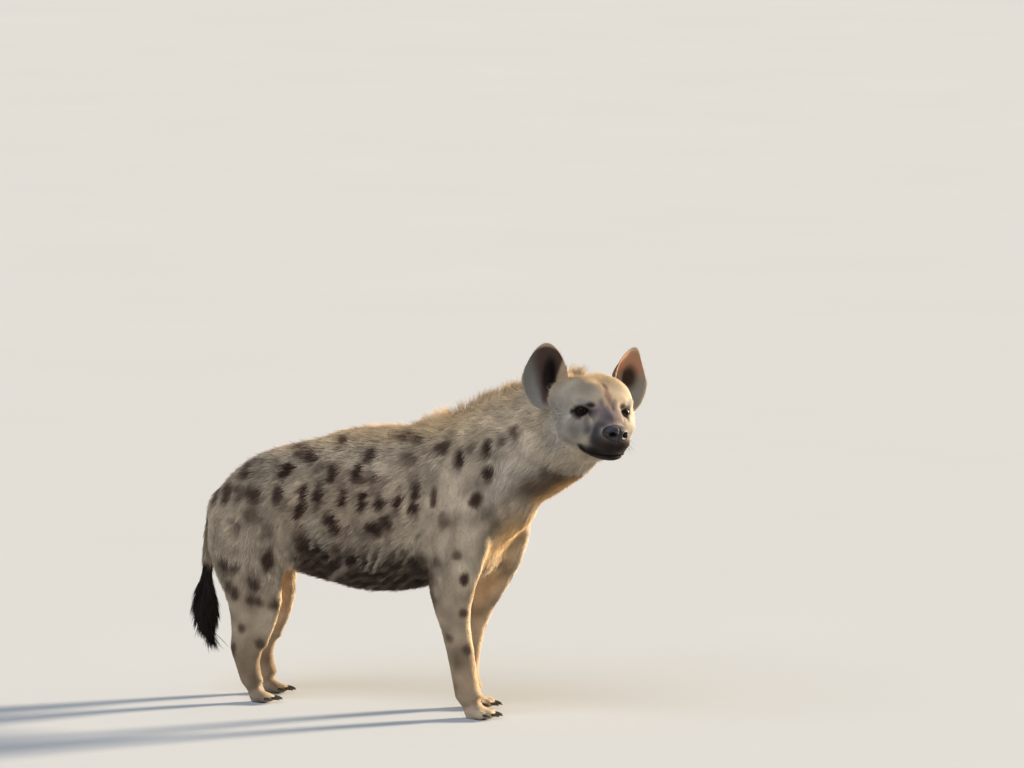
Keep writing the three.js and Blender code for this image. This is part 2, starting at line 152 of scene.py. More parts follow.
def head_turn(yaw: float, pitch: float, roll: float) -> Array:
    """The head's axes as columns, from its three turns in degrees.

    Args:
        yaw: Turn to the side.
        pitch: Nod.
        roll: Tilt.

    Returns:
        The axes.
    """
    (sy, sp, sr), (cy, cp, cr) = (f(np.radians([yaw, pitch, roll])) for f in (np.sin, np.cos))
    level = np.array([[cy, -sy, 0], [sy, cy, 0], [0, 0, 1]])
    nod = np.array([[cp, 0, sp], [0, 1, 0], [-sp, 0, cp]])
    tilt = np.array([[1, 0, 0], [0, cr, -sr], [0, sr, cr]])
    return level @ nod @ tilt


# The head's turn, where it sits in the animal's own frame, and the point midway between the eyes in its own.
HEAD_TURN = head_turn(yaw=-40, pitch=4, roll=-5)
HEAD_AT = np.array([692.0, -110.0, 781.0])
EYES_AT = np.array([-9.0, 0.0, 1.0])
EYE_MIDDLE = (box_middle("eye_left") + box_middle("eye_right")) / 2
HEAD = Axes(EYE_MIDDLE - HEAD_TURN @ EYES_AT * MM, HEAD_TURN)
TORSO = Axes(HEAD.origin - HEAD_AT * MM, np.eye(3))


def mirror(rows: Array) -> Array:
    """Rows of points or directions, and the same rows on the other side."""
    rows = np.asarray(rows, float)
    return np.concatenate([rows, rows * [1, -1, 1]])


def mix(base: Array, other: Array, share: Array) -> Array:
    """Rows of colours, each with a share of another in it."""
    return base + (other - base) * share[:, None]


def show(name: str, data: ID) -> Object:
    """A new object of the scene for a mesh, light or camera.

    Args:
        name: Of the object.
        data: What it shows.

    Returns:
        The object.
    """
    thing = bpy.data.objects.new(name, data)
    bpy.context.scene.collection.objects.link(thing)
    return thing


def as_modified(thing: Object) -> Mesh:
    """The object's mesh with its modifiers applied."""
    return bpy.data.meshes.new_from_object(thing.evaluated_get(bpy.context.evaluated_depsgraph_get()))


def rows_of(verts: Verts) -> Array:
    """The places of a form's vertices."""
    return np.array([v.co for v in verts])


def move(verts: Verts, places: Array) -> None:
    """Moves a form's vertices."""
    for vertex, place in zip(verts, places):
        vertex.co = place


def finish_form(form: Form, name: str) -> Mesh:
    """Ends a form as a smooth mesh.

    Args:
        form: The form, which is freed.
        name: Of the mesh.

    Returns:
        The mesh.
    """
    mesh = bpy.data.meshes.new(name)
    form.to_mesh(mesh)
    form.free()
    mesh.polygons.foreach_set("use_smooth", [True] * len(mesh.polygons))
    return mesh


def get_rows(items: Items, name: str, width: int, kind: type = float) -> Array:
    """A value of each of a mesh's items, one row for each.

    Args:
        items: Vertices, edges or the like.
        name: Of the value.
        width: Numbers in each value.
        kind: Type of the numbers.

    Returns:
        The rows.
    """
    flat = np.empty(len(items) * width, kind)
    items.foreach_get(name, flat)
    return flat.reshape(-1, width)


def put_rows(items: Items, name: str, rows: Array, kind: type = np.float32) -> None:
    """Stores a value on each of a mesh's items."""
    items.foreach_set(name, rows.astype(kind).ravel())


def put_places(mesh: Mesh, places: Array) -> None:
    """Moves the mesh's vertices."""
    put_rows(mesh.vertices, "co", places)
    mesh.update()


def put_vectors(mesh: Mesh, name: str, values: Array) -> None:
    """Stores a vector on every vertex."""
    put_rows(mesh.attributes.new(name, "FLOAT_VECTOR", "POINT").data, "vector", values)


def put_tint(mesh: Mesh, colours: Array) -> None:
    """Stores a colour on every vertex."""
    full = np.concatenate([colours, np.ones((len(colours), 1))], 1)
    put_rows(mesh.color_attributes.new(TINT, "FLOAT_COLOR", "POINT").data, "color", full)


class Surface:
    """A mesh's vertices, edges and triangles as arrays, to smooth it and the values on it."""

    def __init__(self, mesh: Mesh) -> None:
        """Reads the mesh.

        Args:
            mesh: What it is made from.
        """
        mesh.calc_loop_triangles()
        self.points = get_rows(mesh.vertices, "co", 3)
        self.edges = get_rows(mesh.edges, "vertices", 2, np.int32)
        self.tris = get_rows(mesh.loop_triangles, "vertices", 3, np.int32)
        self.count = len(self.points)
        self.degree = np.bincount(self.edges.ravel(), minlength=self.count).astype(float)

    def around(self, values: Array) -> Array:
        """Mean of each vertex's neighbours.

        Args:
            values: One row for each vertex.

        Returns:
            The means.
        """
        rows = values.reshape(self.count, -1)
        a, b = self.edges.T
        total = [np.bincount(a, r[b], self.count) + np.bincount(b, r[a], self.count) for r in rows.T]
        return (np.stack(total, 1) / np.maximum(self.degree, 1)[:, None]).reshape(values.shape)

    def blur(self, values: Array, rounds: int, share: float | Array = 0.5) -> Array:
        """Spreads values over the surface.

        Args:
            values: One row for each vertex.
            rounds: How often.
            share: How far each goes towards its neighbours, the same for all or one for each vertex.

        Returns:
            The spread values.
        """
        step = share if np.isscalar(share) else np.asarray(share).reshape([-1] + [1] * (values.ndim - 1))
        for _ in range(rounds):
            values = values + step * (self.around(values) - values)
        return values

    def relax(self, rounds: int, share: float | Array) -> None:
        """Smooths the surface itself."""
        self.points = self.blur(self.points, rounds, share)

    def normals(self) -> Array:
        """The outward direction at each vertex.

        Returns:
            One unit vector for each vertex.
        """
        a, b, c = (self.points[self.tris[:, k]] for k in range(3))
        face = np.cross(b - a, c - a)
        corners = self.tris.ravel()
        total = [np.bincount(corners, np.repeat(face[:, axis], 3), self.count) for axis in range(3)]
        return unit(np.stack(total, 1))


class Finish:
    """A procedural material: its shader, and short ways to add nodes to it."""

    def __init__(self, name: str, roughness: float, **sockets: float) -> None:
        """Makes the material.

        Args:
            name: Of the material.
            roughness: Of its surface.
            sockets: Other values of the shader, by socket name with spaces as underscores.
        """
        self.material = bpy.data.materials.new(name)
        self.material.use_nodes = True
        self.nodes = self.material.node_tree.nodes
        self.link = self.material.node_tree.links.new
        self.shader = self.nodes["Principled BSDF"]
        for socket, value in {"Roughness": roughness, **sockets}.items():
            self.shader.inputs[socket.replace("_", " ")].default_value = value

    def node(self, kind: str, inputs: dict | None = None, **settings: object) -> Node:
        """Adds a node.

        Args:
            kind: Of the node, without its ShaderNode prefix.
            inputs: Values or sockets for its inputs, by name or number.
            settings: Its own settings.

        Returns:
            The node.
        """
        made = self.nodes.new("ShaderNode" + kind)
        for key, value in settings.items():
            setattr(made, key, value)
        for key, value in (inputs or {}).items():
            if isinstance(value, NodeSocket):
                self.link(value, made.inputs[key])
            else:
                made.inputs[key].default_value = value
        return made

    def vector(self, name: str) -> NodeSocket:
        """A vector that is stored on the mesh."""
        return self.node("Attribute", attribute_name=name).outputs["Vector"]

    def tint(self) -> NodeSocket:
        """The colour that is stored on the mesh."""
        return self.node("Attribute", attribute_name=TINT).outputs["Color"]

    def plain(self, *light: float) -> NodeSocket:
        """One colour, as light.

        Args:
            light: Its red, green and blue.

        Returns:
            Where it comes out.
        """
        made = self.node("RGB")
        made.outputs[0].default_value = (*light, 1)
        return made.outputs[0]

    def objects(self) -> NodeSocket:
        """The piece's own coordinates, in metres."""
        return self.node("TexCoord").outputs["Object"]

    def noise(self, vector: NodeSocket, scale: float, *limits: float, detail: float = 3) -> NodeSocket:
        """Noise of a scale per metre. Its middle range, 0.25 to 0.75, is stretched to the limits if given.

        Args:
            vector: The place it is taken at.
            scale: Of its waves.
            limits: The two ends.
            detail: How many finer layers it has.

        Returns:
            Where it comes out.
        """
        made = self.node("TexNoise", {"Vector": vector, "Scale": scale, "Detail": detail}).outputs["Fac"]
        if not limits:
            return made
        ends = dict(zip(("From Min", "From Max", "To Min", "To Max"), (0.25, 0.75, *limits)))
        return self.node("MapRange", {"Value": made, **ends}).outputs["Result"]

    def paint(self, colour: NodeSocket, *shades: NodeSocket) -> None:
        """Gives the shader its colour, made lighter or darker by each value round 1.

        Args:
            colour: The colour.
            shades: The values.
        """
        for shade in shades:
            colour = self.node("VectorMath", {0: colour, "Scale": shade}, operation="SCALE").outputs["Vector"]
        self.link(colour, self.shader.inputs["Base Color"])

    def raise_by(self, height: NodeSocket, distance: float, strength: float) -> None:
        """Gives the surface a fine relief."""
        relief = self.node("Bump", {"Height": height, "Distance": distance, "Strength": strength})
        self.link(relief.outputs["Normal"], self.shader.inputs["Normal"])


class Hide(Finish):
    """Skin and the short hair that lies flat on it: the animal's colours, flecked and finely rough."""

    def __init__(self) -> None:
        """Makes the material and its nodes."""
        super().__init__("hide", 0.8, Specular_IOR_Level=0.12)
        where = self.objects()
        self.paint(self.tint(), self.noise(where, 420, 0.84, 1.14), self.noise(where, 45, 0.93, 1.07))
        self.raise_by(self.noise(where, 900, detail=4), 0.0012, 0.7)


class Hair(Finish):
    """Hair in tufts: the animal's colours in fine strands along each tuft."""

    def __init__(self) -> None:
        """Makes the material and its nodes."""
        super().__init__("hair", 0.62, Specular_IOR_Level=0.16)
        strand = self.vector(STRAND)
        patches = self.noise(self.objects(), 45, 0.93, 1.07)
        self.paint(self.tint(), self.noise(strand, 3.1, 0.84, 1.15, detail=2), patches)
        self.raise_by(self.noise(strand, 3.1, detail=2), 0.0006, 0.25)


class Leather(Finish):
    """The bare nose: dark leather in small pebbles, a little moist."""

    def __init__(self) -> None:
        """Makes the material and its nodes."""
        super().__init__("nose_leather", 0.5, Specular_IOR_Level=0.4, Coat_Weight=0.06, Coat_Roughness=0.35)
        where = self.objects()
        self.paint(self.tint(), self.noise(where, 110, 0.8, 1.25))
        pebbles = self.node("TexVoronoi", {"Vector": where, "Scale": 620.0}).outputs["Distance"]
        self.raise_by(pebbles, 0.0008, 0.55)


class LidEdge(Finish):
    """The dark bare edge of the lids, barely moist."""

    def __init__(self) -> None:
        """Makes the material and its nodes."""
        super().__init__("lid_edge", 0.6, Specular_IOR_Level=0.12)
        self.paint(self.tint())
        self.raise_by(self.noise(self.objects(), 900), 0.0004, 0.3)


# The eye's two ends, then its rings between: the angle from its axis, as a share of 100 degrees, and colour.
EYE_RINGS = (
    (0.0, 6, 5, 5), (1.0, 46, 30, 26), (0.2, 8, 6, 6), (0.23, 27, 17, 12),
    (0.36, 42, 26, 17), (0.43, 13, 9, 8), (0.52, 20, 15, 14),
)


class WetEye(Finish):
    """A dark brown eye under a wet clear coat, coloured by the angle from its axis."""

    def __init__(self) -> None:
        """Makes the material and its nodes."""
        super().__init__("wet_eye", 0.35, Specular_IOR_Level=0.04, Coat_Weight=0.12, Coat_Roughness=0.02)
        look = self.vector(STRAND)
        rings = self.node("ValToRGB", {"Fac": self.node("SeparateXYZ", {0: look}).outputs["X"]})
        stops = rings.color_ramp.elements
        for number, (share, *colour) in enumerate(EYE_RINGS):
            stop = stops[number] if number < 2 else stops.new(share)
            stop.color = (*linear(*colour), 1)
        self.paint(rings.outputs["Color"], self.noise(look, 9, 0.7, 1.3))


class Horn(Finish):
    """Blunt claws of dark worn horn, with fine lines along them."""

    def __init__(self) -> None:
        """Makes the material and its nodes."""
        super().__init__("claw_horn", 0.45, Specular_IOR_Level=0.45)
        where = self.objects()
        horn = self.plain(*linear(58, 50, 44))
        self.paint(horn, self.noise(where, 700, 0.7, 1.3), self.noise(where, 90, 0.7, 1.4))
        self.raise_by(self.noise(where, 700), 0.0005, 0.5)


class PaleFloor(Finish):
    """A plain pale floor, very slightly uneven in tone."""

    def __init__(self) -> None:
        """Makes the material and its nodes."""
        super().__init__("pale_floor", 1.0, Specular_IOR_Level=0.0)
        self.paint(self.plain(0.50, 0.545, 0.61), self.noise(self.objects(), 0.8, 0.985, 1.015))


@dataclass(frozen=True)
class Coat:
    """How a region's hair grows, in millimetres, degrees and tufts per square centimetre."""

    depth: float
    length: float
    width: float
    density: float
    lift: float
    smooth: float


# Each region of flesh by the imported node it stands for. Smooth is how far its facets are rounded, up to 1.
COATS = {
    "head": Coat(4.5, 9.5, 0.9, 21, 13, 0.2),
    "lower_jaw": Coat(3.5, 10, 0.9, 20, 18, 0.2),
    "neck": Coat(13, 36, 1.2, 15.5, 20, 0.8),
    "chest": Coat(10, 33, 1.4, 11.5, 18, 0.9),
    "belly": Coat(10, 34, 1.5, 9.6, 17, 1.0),
    "rump": Coat(9.5, 31, 1.5, 9.4, 17, 0.9),
    "tail": Coat(9, 36, 1.8, 13, 17, 0.3),
    "tail_tuft": Coat(14, 72, 1.9, 20, 16, 0.3),
    "foreleg_upper": Coat(7, 19.5, 1.4, 12, 17, 0.5),
    "foreleg_lower": Coat(4.2, 12, 1.2, 14, 14, 0.3),
    "foreleg_paw": Coat(2.6, 7, 0.9, 15, 14, 0.05),
    "hindleg_thigh": Coat(8, 25, 1.5, 10, 17, 0.6),
    "hindleg_shank": Coat(5.5, 15, 1.3, 12, 15, 0.35),
    "hindleg_foot": Coat(3.2, 8, 1.0, 14, 14, 0.1),
}
COAT_COLUMNS = ("length", "width", "density", "lift")
EAR_COAT = Coat(2.5, 7, 0.75, 16, 14, 0.0)
SIDES = {"left": 1, "right": -1}


def flesh_nodes() -> dict[str, str]:
    """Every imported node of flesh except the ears, with its region.

    Returns:
        The regions by node.
    """
    single = {name: name for name in COATS if "leg_" not in name}
    for region in (name for name in COATS if "leg_" in name):
        limb, part = region.split("_")
        single |= {f"{limb}_{side}_{part}": region for side in SIDES}
    return single


FLESH = flesh_nodes()
EYES = ("eye_left", "eye_right")
EARS = ("ear_left", "ear_right")


# Soft pushes on the face, mirrored: where, how far each reaches along the axes, and the push itself.
DENTS = (
    ((32, 0, 24), (20, 15, 16), (-4, 0, -2.5)),
    ((-4, 42, 30), (22, 20, 11), (4, 2.5, 4)),
    ((23, 32, 8), (14, 12, 16), (-4, -4, -2)),
    ((37, 52, -44), (9, 12, 22), (-1.5, -4.5, 0)),
    ((-8, 78, -30), (24, 16, 13), (2, 5, 2)),
    ((72, 36, -64), (20, 15, 14), (2, 4.5, 0)),
    ((52, 0, -6), (16, 12, 10), (0, 0, 2)),
    ((90, 0, -108), (12, 20, 9), (3, 0, -2)),
    ((-30, 0, 62), (34, 5, 14), (0, 0, -2.5)),
    ((40, 48, -84), (28, 10, 7), (0, 3, -1)),
    ((-34, 88, 6), (16, 12, 20), (0, -3, 0)),
    ((0, 68, 10), (30, 16, 32), (4, 14, 0)),
    ((-48, 14, 84), (40, 34, 24), (0, 0, -7)),
)


@dataclass(frozen=True)
class Face:
    """The forms of the face, in millimetres of the head's frame."""

    mouth_x: tuple[float, ...] = (8, 17, 36, 58, 80, 96, 104, 120)
    mouth_z: tuple[float, ...] = (-85, -90, -94, -95, -94, -92, -90, -90)
    groove_deep: float = 3.2
    groove_reach: float = 1.8
    lip: float = 1.1
    eye_radius: float = 16.0
    gaze: float = 33.0
    lid_half: float = 63.0
    lid_shift: float = 8.0
    lid_up: tuple[float, float] = (40.0, 31.0)
    lid_low: tuple[float, float] = (32.0, 39.0)
    lid_tilt: float = -0.13
    lid_power: float = 1.55
    lid_thick: float = 1.6
    lid_spread: float = 34.0


class Eyelids:
    """The opening of one eye, in angles about the eyeball's middle, and the lids round it."""

    def __init__(self, node: str, face: Face) -> None:
        """Finds the eyeball.

        Args:
            node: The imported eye.
            face: Sizes of the face.
        """
        self.face = face
        self.side = SIDES[node.split("_")[1]]
        self.up, self.low = (pair[0 if self.side > 0 else 1] for pair in (face.lid_up, face.lid_low))
        self.middle = HEAD.read(box_middle(node)[None])[0]
        turn = math.radians(face.gaze)
        ahead = np.array([math.cos(turn), self.side * math.sin(turn), 0])
        outer = np.array([-math.sin(turn), self.side * math.cos(turn), 0])
        self.turn = np.stack([ahead, outer, [0, 0, 1]], 1)

    def angles(self, points: Array) -> tuple[Array, Array, Array]:
        """Distance from the eye's middle, angle outwards and angle up, in degrees, of points of the head.

        Args:
            points: In the head's frame.

        Returns:
            The three, each with one value for each point.
        """
        rel = (points - self.middle) @ self.turn
        far = np.linalg.norm(rel, axis=1)
        out = np.degrees(np.arctan2(rel[:, 1], rel[:, 0])) - self.face.lid_shift
        up = np.degrees(np.arcsin(np.clip(rel[:, 2] / np.maximum(far, 1e-9), -1, 1)))
        return far, out, up - self.face.lid_tilt * out

    def margin(self, points: Array) -> tuple[Array, Array]:
        """How far outside the opening each point lies, in degrees, and its distance from the eye's middle.

        Args:
            points: In the head's frame.

        Returns:
            The two, each with one value for each point.
        """
        face = self.face
        far, out, up = self.angles(points)
        tall = np.where(up > 0, self.up, self.low)
        power = face.lid_power
        level = (np.abs(out / face.lid_half) ** power + np.abs(up / tall) ** power) ** (1 / power)
        return (level - 1) * np.hypot(out, up) / np.maximum(level, 1e-6), far

    def shape(self, points: Array) -> Array:
        """Lays lids over the eyeball and opens them.

        Args:
            points: The skin's points in the head's frame.

        Returns:
            The same points, moved where they lie near the eye.
        """
        face = self.face
        outside, far = self.margin(points)
        rel = points - self.middle
        facing = rel @ self.turn[:, 0] / np.maximum(far, 1e-9)
        near = (facing > 0.0) & (far < 3.2 * face.eye_radius)
        lid = face.eye_radius + face.lid_thick
        blend = ramp(4, face.lid_spread, outside)
        crease = 1.1 * bump(outside, 13, 5)
        wanted = np.where(outside > 0, lid + (far - lid) * blend - crease, face.eye_radius - 3.5)
        keep = ramp(0.0, 0.25, facing)
        reach = np.where(near, far + (wanted - far) * keep, far)
        return self.middle + rel * (reach / np.maximum(far, 1e-9))[:, None]

    def rim(self, turns: Array, out: Array, high: Array) -> Array:
        """Points of a thin roll along the edge of the lids.

        Args:
            turns: Angle round the opening, in radians.
            out: Distance outwards from the edge, in millimetres.
            high: Height above the eyeball, in millimetres.

        Returns:
            The points in the head's frame.
        """
        face = self.face
        power = 2 / face.lid_power
        c, s = np.cos(turns), np.sin(turns)
        tall = np.where(s > 0, self.up, self.low)
        grow = 1 + out / (face.eye_radius * math.radians(38))
        side = np.sign(c) * np.abs(c) ** power * face.lid_half * grow
        up = np.sign(s) * np.abs(s) ** power * tall * grow + face.lid_tilt * side
        side, up = np.radians(side + face.lid_shift), np.radians(up)
        ray = np.stack([np.cos(up) * np.cos(side), np.cos(up) * np.sin(side), np.sin(up)], 1)
        return self.middle + (ray * (face.eye_radius + high)[:, None]) @ self.turn.T


@dataclass(frozen=True)
class EarForm:
    """One ear: a deep dish on the head, in millimetres of the head's frame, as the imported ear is."""

    middle: Triple = (-112, 115, 65)
    up: Triple = (-0.04, 0.05, 1)
    facing: Triple = (0.92, 0.39, 0.06)
    half_width: float = 58
    half_height: float = 81
    bowl: float = 33
    thick: float = 1.7
    low_shift: float = 0.08
    tip_pull: float = 0.24
    fold: float = 13
    fold_at: float = -0.42
    fold_reach: float = 0.17
    ridge: float = 4.5
    rings: int = 34
    around: int = 96
    # The ball's faces come in a new order each run, so they are sorted along this direction.
    order: Triple = (0.61, 0.37, 0.83)

    def axes(self, side: int) -> tuple[Array, Array, Array]:
        """Facing, up and outward directions of the ear on one side.

        Args:
            side: 1 for the left, -1 for the right.

        Returns:
            Three unit vectors in the head's frame.
        """
        flip = np.array([1, side, 1])
        facing = unit(np.array(self.facing) * flip)
        up = np.array(self.up) * flip
        up = unit(up - up @ facing * facing)
        return facing, up, np.cross(up, facing) * side

    def read(self, head: Array, side: int) -> Array:
        """Shares of the ear's half width, outwards, and half height, upwards, at points of the head.

        Args:
            head: Points in the head's frame.
            side: 1 for the left, -1 for the right.

        Returns:
            Two columns.
        """
        _, up, outward = self.axes(side)
        rel = head - np.array(self.middle) * [1, side, 1]
        return np.stack([rel @ outward / self.half_width, rel @ up / self.half_height], 1)

    def points(self, sphere: Array, side: int) -> Array:
        """Turns points of a unit sphere, whose poles face front and back, into the ear.

        Args:
            sphere: Points of the sphere.
            side: 1 for the left, -1 for the right.

        Returns:
            Points in the head's frame.
        """
        x, y, z = sphere.T
        height = y - self.low_shift * (1 - y * y)
        width = x * (1 - self.tip_pull * np.maximum(y, 0))
        bowl = np.maximum(1 - width**2 - height**2, 0)
        inside = ramp(0.0, 0.35, bowl)
        fold = bump(width, self.fold_at + 0.12 * height, self.fold_reach) * ramp(0.75, 0.1, height)
        ridge = bump(width, self.fold_at + 0.3 + 0.12 * height, 0.1) * ramp(0.5, -0.2, height)
        deep = self.bowl * bowl + inside * (self.fold * fold - self.ridge * ridge * (z > 0))
        thick = np.sign(z) * np.abs(z) ** 0.45 * self.thick * (1 + 0.8 * bowl)
        facing, up, outward = self.axes(side)
        middle = np.array(self.middle) * [1, side, 1]
        flat = height[:, None] * self.half_height * up + width[:, None] * self.half_width * outward
        return middle + flat + (thick - deep)[:, None] * facing

    def build(self, side: int) -> Mesh:
        """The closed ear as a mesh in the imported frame.

        Args:
            side: 1 for the left, -1 for the right.

        Returns:
            The mesh.
        """
        form = bmesh.new()
        bmesh.ops.create_uvsphere(form, u_segments=self.around, v_segments=self.rings, radius=1)
        form.verts.sort(key=lambda vertex: vertex.co.dot(self.order))
        form.faces.sort(key=lambda face: face.calc_center_median().dot(self.order))
        move(form.verts, HEAD.place(self.points(rows_of(form.verts), side)))
        if form.calc_volume(signed=True) < 0:
            bmesh.ops.reverse_faces(form, faces=form.faces)
        return finish_form(form, "ear")


class Region(Enum):
    """The parts of the face that get finer facets, each a half of the last."""

    FACE = 1
    FEATURES = 2


class Skin:
    """One closed skin over all the flesh, a coat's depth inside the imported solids."""

    VOXEL = 0.0062
    JOIN = 0.6
    ROUNDS = 60
    SOLE = 8.0

    def __init__(self, face: Face, ear: EarForm) -> None:
        """Builds the skin and the fields of its regions.

        Args:
            face: Sizes of the face.
            ear: Sizes of the ears.
        """
        self.face = face
        self.ear = ear
        self.lids = [Eyelids(node, face) for node in EYES]
        mesh = self.finer_face(self.round_form(self.joined()))
        self.sculpt(mesh)
        self.object = self.with_ears(mesh)
        self.surface = Surface(self.object.data)
        self.labels = nearest_nodes(self.surface.points)
        LOG.info("skin: %d vertices, %d triangles", self.surface.count, len(self.surface.tris))

    def joined(self) -> Mesh:
        """All the flesh as one even mesh, out to the tips of the coat.

        Returns:
            The mesh.
        """
        union = bmesh.new()
        for node in (*FLESH, "nose", *EYES):
            part = bmesh.new()
            part.from_mesh(frame["nodes"][node].data)
            bmesh.ops.remove_doubles(part, verts=part.verts, dist=1e-5)
            part.normal_update()
            for vertex in part.verts:
                vertex.co += vertex.normal * (self.JOIN * MM)
            mesh = finish_form(part, "part")
            union.from_mesh(mesh)
            bpy.data.meshes.remove(mesh)
        thing = show("flesh", finish_form(union, "flesh"))
        remesh = thing.modifiers.new("even", "REMESH")
        remesh.mode = "VOXEL"
        remesh.voxel_size = self.VOXEL
        even = as_modified(thing)
        bpy.data.objects.remove(thing)
        return even

    def round_form(self, mesh: Mesh) -> Mesh:
        """Rounds the facets and draws the skin in by the coat's depth.

        Args:
            mesh: The even mesh.

        Returns:
            The same mesh, changed.
        """
        form = Surface(mesh)
        rows = np.array([(COATS[region].depth, COATS[region].smooth) for region in FLESH.values()])
        depth, smooth = form.blur(rows[nearest_nodes(form.points)], 12).T
        head = HEAD.read(form.points)
        ahead = ramp(-60, 10, head[:, 0]) * ramp(190, 150, np.linalg.norm(head, axis=1))
        form.relax(self.ROUNDS, smooth * 0.5)
        normals = unit(form.blur(form.normals(), 4))
        depth = form.blur(depth + extra_depth(form.points, normals) - ahead * 1.5, 8)
        depth = depth * ramp(0, self.SOLE, TORSO.read(form.points)[:, 2])
        form.points = form.points - normals * depth[:, None] * MM
        form.relax(6, 0.3 * ramp(0.05, 0.5, smooth))
        form.points[:, 2] = np.maximum(form.points[:, 2], TORSO.origin[2])
        put_places(mesh, form.points)
        return mesh

    def in_region(self, head: Array, region: Region) -> Array:
        """Which points of the head's frame lie in a region.

        Args:
            head: Points in the head's frame.
            region: The region.

        Returns:
            Yes or no for each point.
        """
        x, y, z = head.T
        near = np.abs(y) < 110
        if region is Region.FACE:
            return near & (x > -40) & (z > -150) & (z < 80)
        eyes = np.min([np.linalg.norm(head - lid.middle, axis=1) for lid in self.lids], 0) < 34
        return near & (eyes | (x > 12) & (z < -14) & (z > -125))

    def finer_face(self, mesh: Mesh) -> Mesh:
        """Divides the face twice, the features most.

        Args:
            mesh: The rounded mesh.

        Returns:
            The same mesh, changed.
        """
        form = bmesh.new()
        form.from_mesh(mesh)
        for region in Region:
            inside = self.in_region(HEAD.read(rows_of(form.verts)), region)
            edges = [e for e in form.edges if inside[e.verts[0].index] and inside[e.verts[1].index]]
            bmesh.ops.subdivide_edges(form, edges=edges, cuts=1, use_grid_fill=True)
            form.verts.index_update()
        bmesh.ops.triangulate(form, faces=[f for f in form.faces if len(f.verts) > 4])
        form.to_mesh(mesh)
        form.free()
        surface = Surface(mesh)
        inside = self.in_region(HEAD.read(surface.points), Region.FACE)
        surface.relax(5, 0.5 * (inside & ~np.isclose(surface.points[:, 2], TORSO.origin[2])))
        put_places(mesh, surface.points)
        return mesh

    def mouth_distance(self, head: Array) -> Array:
        """Distance of points of the head's frame from the mouth line, as seen from the side.

        Args:
            head: Points in the head's frame.

        Returns:
            Millimetres, for each point.
        """
        x, _, z = head.T
        face = self.face
        level = np.abs(z - np.interp(x, face.mouth_x, face.mouth_z))
        return np.where(x < face.mouth_x[0], np.hypot(x - face.mouth_x[0], z - face.mouth_z[0]), level)

    def sculpt(self, mesh: Mesh) -> None:
        """Presses the face's hollows, folds, mouth line and lids into the skin.

        Args:
            mesh: The mesh, which is changed.
        """
        face = self.face
        surface = Surface(mesh)
        head = HEAD.read(surface.points)
        near = np.linalg.norm(head, axis=1) < 190
        push = np.zeros_like(head)
        for at, reach, shift in DENTS:
            for side in (1, -1):
                rel = (head - np.array(at) * [1, side, 1]) / np.array(reach)
                share = np.exp(-(rel**2).sum(1)) / (2 if at[1] == 0 else 1)
                push += share[:, None] * (np.array(shift) * [1, side, 1])
        head = head + push * near[:, None]
        surface.points = HEAD.place(head)
        outward = surface.normals() @ HEAD.turn
        gap = self.mouth_distance(head)
        muzzle = near * (head[:, 0] > -10) * ramp(0.75, 0.45, np.abs(outward[:, 2]))
        groove = face.groove_deep * bump(gap, 0, face.groove_reach)
        groove *= 1 - 0.7 * ramp(84, 102, head[:, 0])
        lips = face.lip * bump(gap, 2.8 * face.groove_reach, 1.6 * face.groove_reach)
        head = head + outward * ((lips - groove) * muzzle)[:, None]
        pad = NosePad()
        rel = head - pad.middle
        share = np.linalg.norm(rel / pad.half, axis=1)
        head = pad.middle + rel * (1 - 0.62 * ramp(1.12, 0.8, share))[:, None]
        for lid in self.lids:
            head = lid.shape(head)
        put_places(mesh, HEAD.place(head))

    def with_ears(self, mesh: Mesh) -> Object:
        """Joins the ears on and smooths the crease between.

        Args:
            mesh: The skin without ears.

        Returns:
            The whole skin.
        """
        skin = show("hyena_skin", mesh)
        before = tree_of(mesh)
        for side in SIDES.values():
            ear = show("ear", self.ear.build(side))
            join = skin.modifiers.new("ear", "BOOLEAN")
            join.operation = "UNION"
            join.solver = "MANIFOLD"
            join.object = ear
            joined = as_modified(skin)
            skin.modifiers.clear()
            skin.data = joined
            bpy.data.objects.remove(ear)
        surface = Surface(skin.data)
        self.on_ear = np.array([before.find_nearest(Vector(p))[3] for p in surface.points]) > 0.0001
        a, b = surface.edges.T
        crossing = self.on_ear[a] != self.on_ear[b]
        crease = np.zeros(surface.count)
        crease[a[crossing]] = crease[b[crossing]] = 1
        for _ in range(3):
            crease = np.maximum(crease, (surface.around(crease) > 0) * 1.0)
        surface.relax(14, 0.5 * crease)
        put_places(skin.data, surface.points)
        skin.data.polygons.foreach_set("use_smooth", [True] * len(skin.data.polygons))
        return skin


def tree_of(mesh: Mesh) -> BVHTree:
    """A search tree over the mesh's faces.

    Args:
        mesh: The mesh.

    Returns:
        The tree.
    """
    form = bmesh.new()
    form.from_mesh(mesh)
    tree = BVHTree.FromBMesh(form)
    form.free()
    return tree


def nearest_nodes(points: Array) -> Array:
    """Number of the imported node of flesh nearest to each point, in the order of FLESH.

    Args:
        points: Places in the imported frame.

    Returns:
        One number for each point.
    """
    corners, faces, owner = [], [], []
    for number, node in enumerate(FLESH):
        surface = Surface(frame["nodes"][node].data)
        faces.append(surface.tris + sum(map(len, corners)))
        corners.append(surface.points)
        owner += [number] * len(surface.tris)
    tree = BVHTree.FromPolygons(np.concatenate(corners).tolist(), np.concatenate(faces).tolist())
    return np.array([owner[tree.find_nearest(Vector(p))[2]] for p in points])


